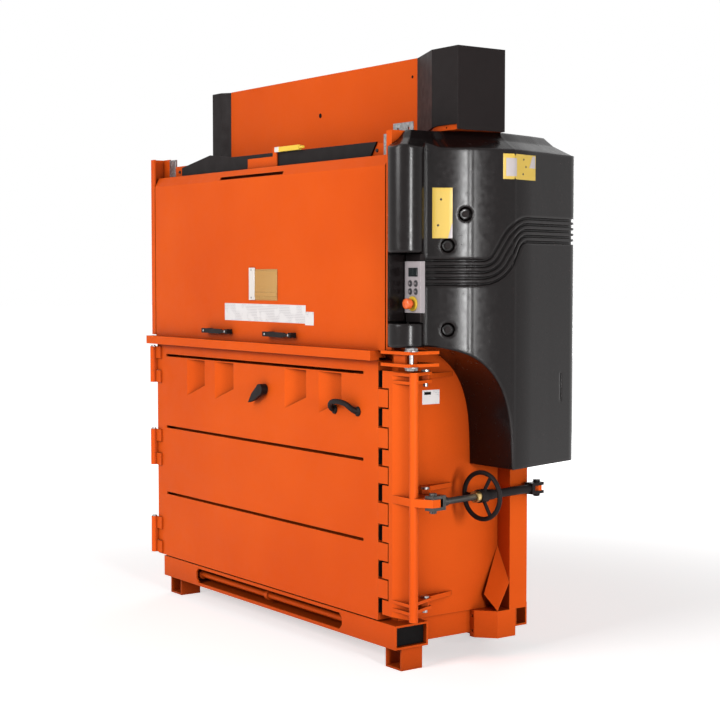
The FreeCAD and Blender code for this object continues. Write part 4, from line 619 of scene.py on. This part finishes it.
def make_stage():
    """The white floor: it keeps the shadow near the machine and glows further out."""
    floor_mesh = bpy.data.meshes.new("floor")
    reach = FLOOR_REACH
    floor_mesh.from_pydata([(-reach, -reach, 0), (reach, -reach, 0), (reach, reach, 0),
                            (-reach, reach, 0)], [], [(0, 1, 2, 3)])
    floor = bpy.data.objects.new("floor", floor_mesh)
    bpy.context.scene.collection.objects.link(floor)
    material = bpy.data.materials.new("floor_white")
    material.use_nodes = True
    nodes, links = material.node_tree.nodes, material.node_tree.links
    shader = nodes["Principled BSDF"]
    shader.inputs["Base Color"].default_value = FLOOR_COLOUR
    shader.inputs["Roughness"].default_value = 0.9
    shader.inputs["Specular IOR Level"].default_value = 0.0
    glow = nodes.new("ShaderNodeEmission")
    glow.inputs["Color"].default_value = WHITE
    place = nodes.new("ShaderNodeTexCoord")
    away = nodes.new("ShaderNodeVectorMath")
    away.operation = "LENGTH"
    links.new(place.outputs["Object"], away.inputs[0])
    level = nodes.new("ShaderNodeMapRange")
    level.interpolation_type = "SMOOTHSTEP"
    for name, value in (("From Min", GLOW_FROM), ("From Max", GLOW_TO),
                        ("To Min", GLOW_NEAR), ("To Max", GLOW_FAR)):
        level.inputs[name].default_value = value
    links.new(away.outputs["Value"], level.inputs["Value"])
    links.new(arithmetic(nodes, links, "MULTIPLY", level.outputs["Result"],
                         seen_directly(nodes, links)), glow.inputs["Strength"])
    both = nodes.new("ShaderNodeAddShader")
    links.new(shader.outputs["BSDF"], both.inputs[0])
    links.new(glow.outputs["Emission"], both.inputs[1])
    links.new(both.outputs["Shader"], nodes["Material Output"].inputs["Surface"])
    floor_mesh.materials.append(material)


def seen_directly(nodes, links):
    """1 for rays from the camera and for those that mirror or pass through, else 0."""
    path = nodes.new("ShaderNodeLightPath")
    total = path.outputs["Is Camera Ray"]
    for name in ("Is Glossy Ray", "Is Transmission Ray"):
        total = arithmetic(nodes, links, "MAXIMUM", total, path.outputs[name])
    return total


def make_world():
    """White where it is seen, and a weak even light on everything else."""
    world = bpy.data.worlds.new("studio")
    bpy.context.scene.world = world
    world.use_nodes = True
    nodes, links = world.node_tree.nodes, world.node_tree.links
    background = nodes["Background"]
    background.inputs["Color"].default_value = WHITE
    level = nodes.new("ShaderNodeMapRange")
    level.inputs["To Min"].default_value = WORLD_FILL
    level.inputs["To Max"].default_value = 1.0
    links.new(seen_directly(nodes, links), level.inputs["Value"])
    links.new(level.outputs["Result"], background.inputs["Strength"])


def lamp(name, place, target, wide, high, watts):
    """A level lamp with its sides in metres, turned to a point."""
    data = bpy.data.lights.new(name, "AREA")
    data.shape = "RECTANGLE"
    data.size = wide
    data.size_y = high
    data.energy = watts
    made = bpy.data.objects.new(name, data)
    made.location = place
    made.rotation_euler = (Vector(target) - Vector(place)).to_track_quat("-Z", "Y").to_euler()
    bpy.context.scene.collection.objects.link(made)


def make_camera():
    """The camera that the photo was taken from, as fitted."""
    data = bpy.data.cameras.new("camera")
    data.lens = CAMERA_LENS
    data.sensor_width = SENSOR
    made = bpy.data.objects.new("camera", data)
    made.location = CAMERA_PLACE
    made.rotation_euler = CAMERA_FORWARD.to_track_quat("-Z", "Y").to_euler()
    bpy.context.scene.collection.objects.link(made)
    bpy.context.scene.camera = made


# ------------------------------------------------------------------ details

def labels():
    """Sheets and plates on the hatch, the right wall and the cover."""
    into = Vector((0, 1, 0))
    left = Vector((-1, 0, 0))

    def on_hatch(name, x, z, steps, material, base=ON_FACE):
        sheet_on(name, "loading_hatch",
                 (at(x[0], -30, z[0]), at(x[1], -30, z[0]), at(x[1], -30, z[1]),
                  at(x[0], -30, z[1])), into, steps, SHEET, material, "hatch",
                 base)

    on_hatch("hatch_strip", (-274, 362), (1303, 1377), (40, 8), WHITE_SHEET)
    on_hatch("hatch_strip_end", (358, 421), (1297, 1351), (8, 6), WHITE_SHEET, ON_SHEET)

    def on_wall(name, y, z, steps, material, base=ON_FACE):
        sheet_on(name, "chamber_side_right",
                 (at(990, y[0], z[0]), at(990, y[1], z[0]), at(990, y[1], z[1]),
                  at(990, y[0], z[1])), left, steps, SHEET, material, "frame",
                 base)

    on_wall("wall_sheet", (180, 264), (1003, 1058), (10, 6), WHITE_SHEET)
    on_wall("wall_sheet_mark", (189, 222), (1040, 1051), (4, 3), RUBBER, ON_SHEET)

    flank = Vector((-0.84, 0.54, 0))
    plate = (at(1040, 114, 1636), at(1080, 178, 1636), at(1080, 178, 1823),
             at(1040, 114, 1823))
    sheet_on("flank_plate", "side_cover", plate, flank, (10, 18), PLATE, YELLOW_SHEET,
             "frame")
    corner = (at(1071, 164, 1636), at(1080, 178, 1636), at(1080, 178, 1690),
              at(1079, 176, 1690))
    sheet_on("flank_plate_corner", "side_cover", corner, flank, (4, 8), MARK, GREY_SHEET,
             "frame", ON_PLATE)
    sheet_on("side_plate", "side_cover",
             (at(1190, 372, 1859), at(1190, 553, 1859), at(1190, 553, 1954),
              at(1190, 372, 1954)), left, (20, 12), PLATE, YELLOW_SHEET, "frame")
    sheet_on("side_plate_panel", "side_cover",
             (at(1190, 384, 1870), at(1190, 430, 1870), at(1190, 430, 1938),
              at(1190, 384, 1938)), left, (6, 8), MARK, GREY_SHEET, "frame",
             ON_PLATE)
    sheet_on("side_plate_corner", "side_cover",
             (at(1190, 510, 1905), at(1190, 549, 1905), at(1190, 549, 1950),
              at(1190, 531, 1950)), left, (5, 6), MARK, GREY_SHEET, "frame",
             ON_PLATE)
    mesh = on_faces(screw, "side_cover", [(1052, 145, 1780), (1046, 136, 1684)], flank, 4.5)
    more = on_faces(screw, "side_cover", [(1150, 474, 1935), (1150, 488, 1908),
                                          (1150, 470, 1880)], left, 4.5)
    closed("flank_plate_screws", mesh, DARK_STEEL, "frame")
    closed("side_plate_screws", more, DARK_STEEL, "frame")


def card_holder():
    """The card in its holder on the hatch: a white edge and a ridged tan card."""
    mesh = bmesh.new()
    slab(mesh, (-67, -5, 1393), (-21, 0.2, 1530), 1.6)
    closed("card_holder", mesh, PALE_SHEET, "hatch")
    mesh = bmesh.new()
    for z in (1403, 1520):
        screw(mesh, at(-46, -5, z), (0, -1, 0), 4)
    closed("card_holder_screws", mesh, MATERIALS["steel"], "hatch")
    mesh = bmesh.new()
    levels = [(1392, -0.2), *CARD_RIDGES, (1524, -0.2)]
    rows = [[mesh.verts.new(at(x, -depth, z)) for x in CARD_SIDES] for z, depth in levels]
    for low, high in zip(rows, rows[1:]):
        mesh.faces.new((low[0], low[1], high[1], high[0]))
    mesh.faces.new([pair[0] for pair in rows])
    mesh.faces.new([pair[1] for pair in reversed(rows)])
    mesh.faces.new((rows[0][0], rows[0][1], rows[-1][1], rows[-1][0]))
    closed("holder_card", mesh, TAN_CARD, "hatch")


def controls():
    """The blocks round the grey panel, the windows, and the rims of keys and knob."""
    mesh = bmesh.new()
    slab(mesh, (951, 58, 1552), (1040, 74.5, 1579), 3)
    slab(mesh, (951, 58, 1323), (1040, 74.5, 1357), 3)
    closed("panel_blocks", mesh, MATERIALS["black_paint"], "frame")
    mesh = bmesh.new()
    slab(mesh, (975.5, 52.2, 1497), (999, 53.4, 1523), 0.5)
    slab(mesh, (1002, 52.2, 1497), (1023, 53.4, 1523), 0.5)
    closed("display_windows", mesh, CLEAR_WINDOW, "frame")
    mesh = bmesh.new()
    places = [(x, z) for z in KEY_ROWS for x in KEY_COLUMNS]
    for x, z in places:
        turned(mesh, at(x, 55.2, z), (0, -1, 0),
               [(0, 8.1), (0, 12.4), (1.2, 12.4), (2.0, 11.6), (2.0, 8.8), (1.4, 8.1),
                (0, 8.1)], 32)
    closed("key_rims", mesh, MATERIALS["key_plastic"], "frame", True)
    for number, (x, z) in enumerate(places, 1):
        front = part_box(f"button_{number}")[0][1]
        mesh = bmesh.new()
        centre = at(x, 0, z)
        centre.y = front + 0.0002
        turned(mesh, centre, (0, -1, 0), [(0, 0), (0, 4.6), (0.7, 4.4), (0.95, 3.8),
                                          (1.05, 0)], 24)
        closed(f"button_{number}_cap", mesh, PALE_KEY, f"button_{number}",
               True)
    low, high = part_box("emergency_stop")
    radius = (high[2] - low[2]) * 500
    centre = at(STOP_X, 0, STOP_Z)
    centre.y = low[1] + 0.0002
    mesh = bmesh.new()
    dome = [(0, 0), (0, radius - 0.2)]
    for k in range(1, 8):
        turn = math.pi / 2 * k / 8
        dome.append((radius * STOP_DOME * math.sin(turn), (radius - 0.2) * math.cos(turn)))
    dome.append((radius * STOP_DOME, 0))
    turned(mesh, centre, (0, -1, 0), dome, 40)
    closed("stop_dome", mesh, MATERIALS["red_plastic"], "stop_button", True)


def fasteners():
    """Bolts, screws and nuts on the faces that carry them."""
    into = (0, 1, 0)
    steel = MATERIALS["steel"]
    for name, node, points, direction, size, material, body, kind in (
            ("rail_bolts", "top_rail", [(-770, 40, 1974), (-668, 40, 1972), (668, 40, 1972),
                                        (770, 40, 1974)], into, 7, DARK_STEEL, "frame", bolt),
            ("handle_screws", "hatch_handles", [(-397, -60, 1254), (-216, -60, 1254),
                                                (109, -60, 1254), (288, -60, 1254)], into, 5,
             steel, "hatch", screw)):
        mesh = on_faces(kind, node, points, direction, size)
        closed(name, mesh, material, body)
    mesh = bmesh.new()
    pin = at(1050, 8, 0)
    for z, axis in ((1218, 1), (1160, -1)):
        place = Vector((pin.x, pin.y, z / 1000))
        turned(mesh, place, (0, 0, axis), [(-0.3, 15.2), (-0.3, 27), (3, 27), (3, 15.2),
                                           (-0.3, 15.2)], 32)
        turned(mesh, place, (0, 0, axis), [(3, 15.2), (3, 23), (11, 24), (13.5, 21.5),
                                           (13.5, 15.2), (3, 15.2)], 6)
    closed("catch_pin_nuts", mesh, MATERIALS["zinc"], "frame")


def bow_grip():
    """The door's grip: a bow of moulded bar on two turned feet."""
    mesh = bmesh.new()
    swept(mesh, [(566, 1, 972), (567, -14, 976), (575, -27, 990), (602, -35, 1005),
                 (650, -36, 1008), (690, -33, 1001), (711, -24, 986), (720, -13, 977),
                 (723, 1, 974)], [13, 11.5, 11, 10.5, 10.5, 10.5, 11, 11.5, 13])
    for x, z in ((566, 972), (723, 974)):
        turned(mesh, at(x, 0.3, z), (0, -1, 0), [(0, 0), (0, 19), (3, 19), (6, 16.5),
                                                 (9, 11), (9, 0)], 32)
    made = closed("bow_grip", mesh, MATERIALS["black_paint"], "door", True)
    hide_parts("door_grip")


def switch_end():
    """The pale end of the hatch switch."""
    low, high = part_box("hatch_switch")
    low, high = Vector(low) * 1000 - SHIFT, Vector(high) * 1000 - SHIFT
    mesh = bmesh.new()
    slab(mesh, (low.x - 1.2, low.y - 1.2, low.z - 0.6), (low.x + 30, high.y - 1, high.z + 1.2),
         2.0)
    closed("switch_end", mesh, PALE_SHEET, "frame")


def door_gap_shade():
    """Dark strips on the door's edge, behind each finger of the lock plate: painted shade for
    the gaps there.
    """
    mesh = bmesh.new()
    for low, high in FINGERS:
        slab(mesh, (852.5, 3, low + 1), (854.9, 57, high - 1), 0.4)
    closed("door_gap_shade_strips", mesh, RUBBER, "door")


def beam_plug():
    """The dark plug in the open end of the front beam."""
    mesh = bmesh.new()
    slab(mesh, (930, 13, 94), (940, 155, 170), 4)
    closed("beam_plug", mesh, RUBBER, "frame")


def guard_plugs():
    """Dark plugs in the two holes of the guard panel."""
    mesh = bmesh.new()
    for x, z, radius in ((32, 2181, 8), (678, 2280, 4)):
        turned(mesh, at(x, 297.9, z), (0, 1, 0),
               [(-1.5, 0), (-1.5, radius * 0.8), (-1.0, radius + 1.5), (0, radius + 1.8),
                (0, radius - 0.1), (7, radius - 0.1), (7.5, radius * 0.8), (7.5, 0)], 28)
    closed("guard_plugs", mesh, RUBBER, "frame", True)


def welds():
    """Beads by the catch bracket and at the foot of the left tower."""
    mesh = bmesh.new()
    bead(mesh, (897.5, 70, 1218.5), (897.5, 122, 1218.5), 4)
    bead(mesh, (897.5, 70, 1159.5), (897.5, 122, 1159.5), 4)
    closed("catch_welds", mesh, MATERIALS["orange_paint"], "frame", True)
    mesh = bmesh.new()
    bead(mesh, (-826, 268, 2013), (-712, 268, 2013), 4)
    closed("tower_welds", mesh, MATERIALS["black_paint"], "frame", True)


dress_nodes()
labels()
card_holder()
controls()
fasteners()
bow_grip()
switch_end()
door_gap_shade()
beam_plug()
guard_plugs()
welds()
make_stage()
make_world()
for row in LAMPS:
    lamp(*row)
make_camera()
bpy.context.scene.view_settings.view_transform = "Standard"
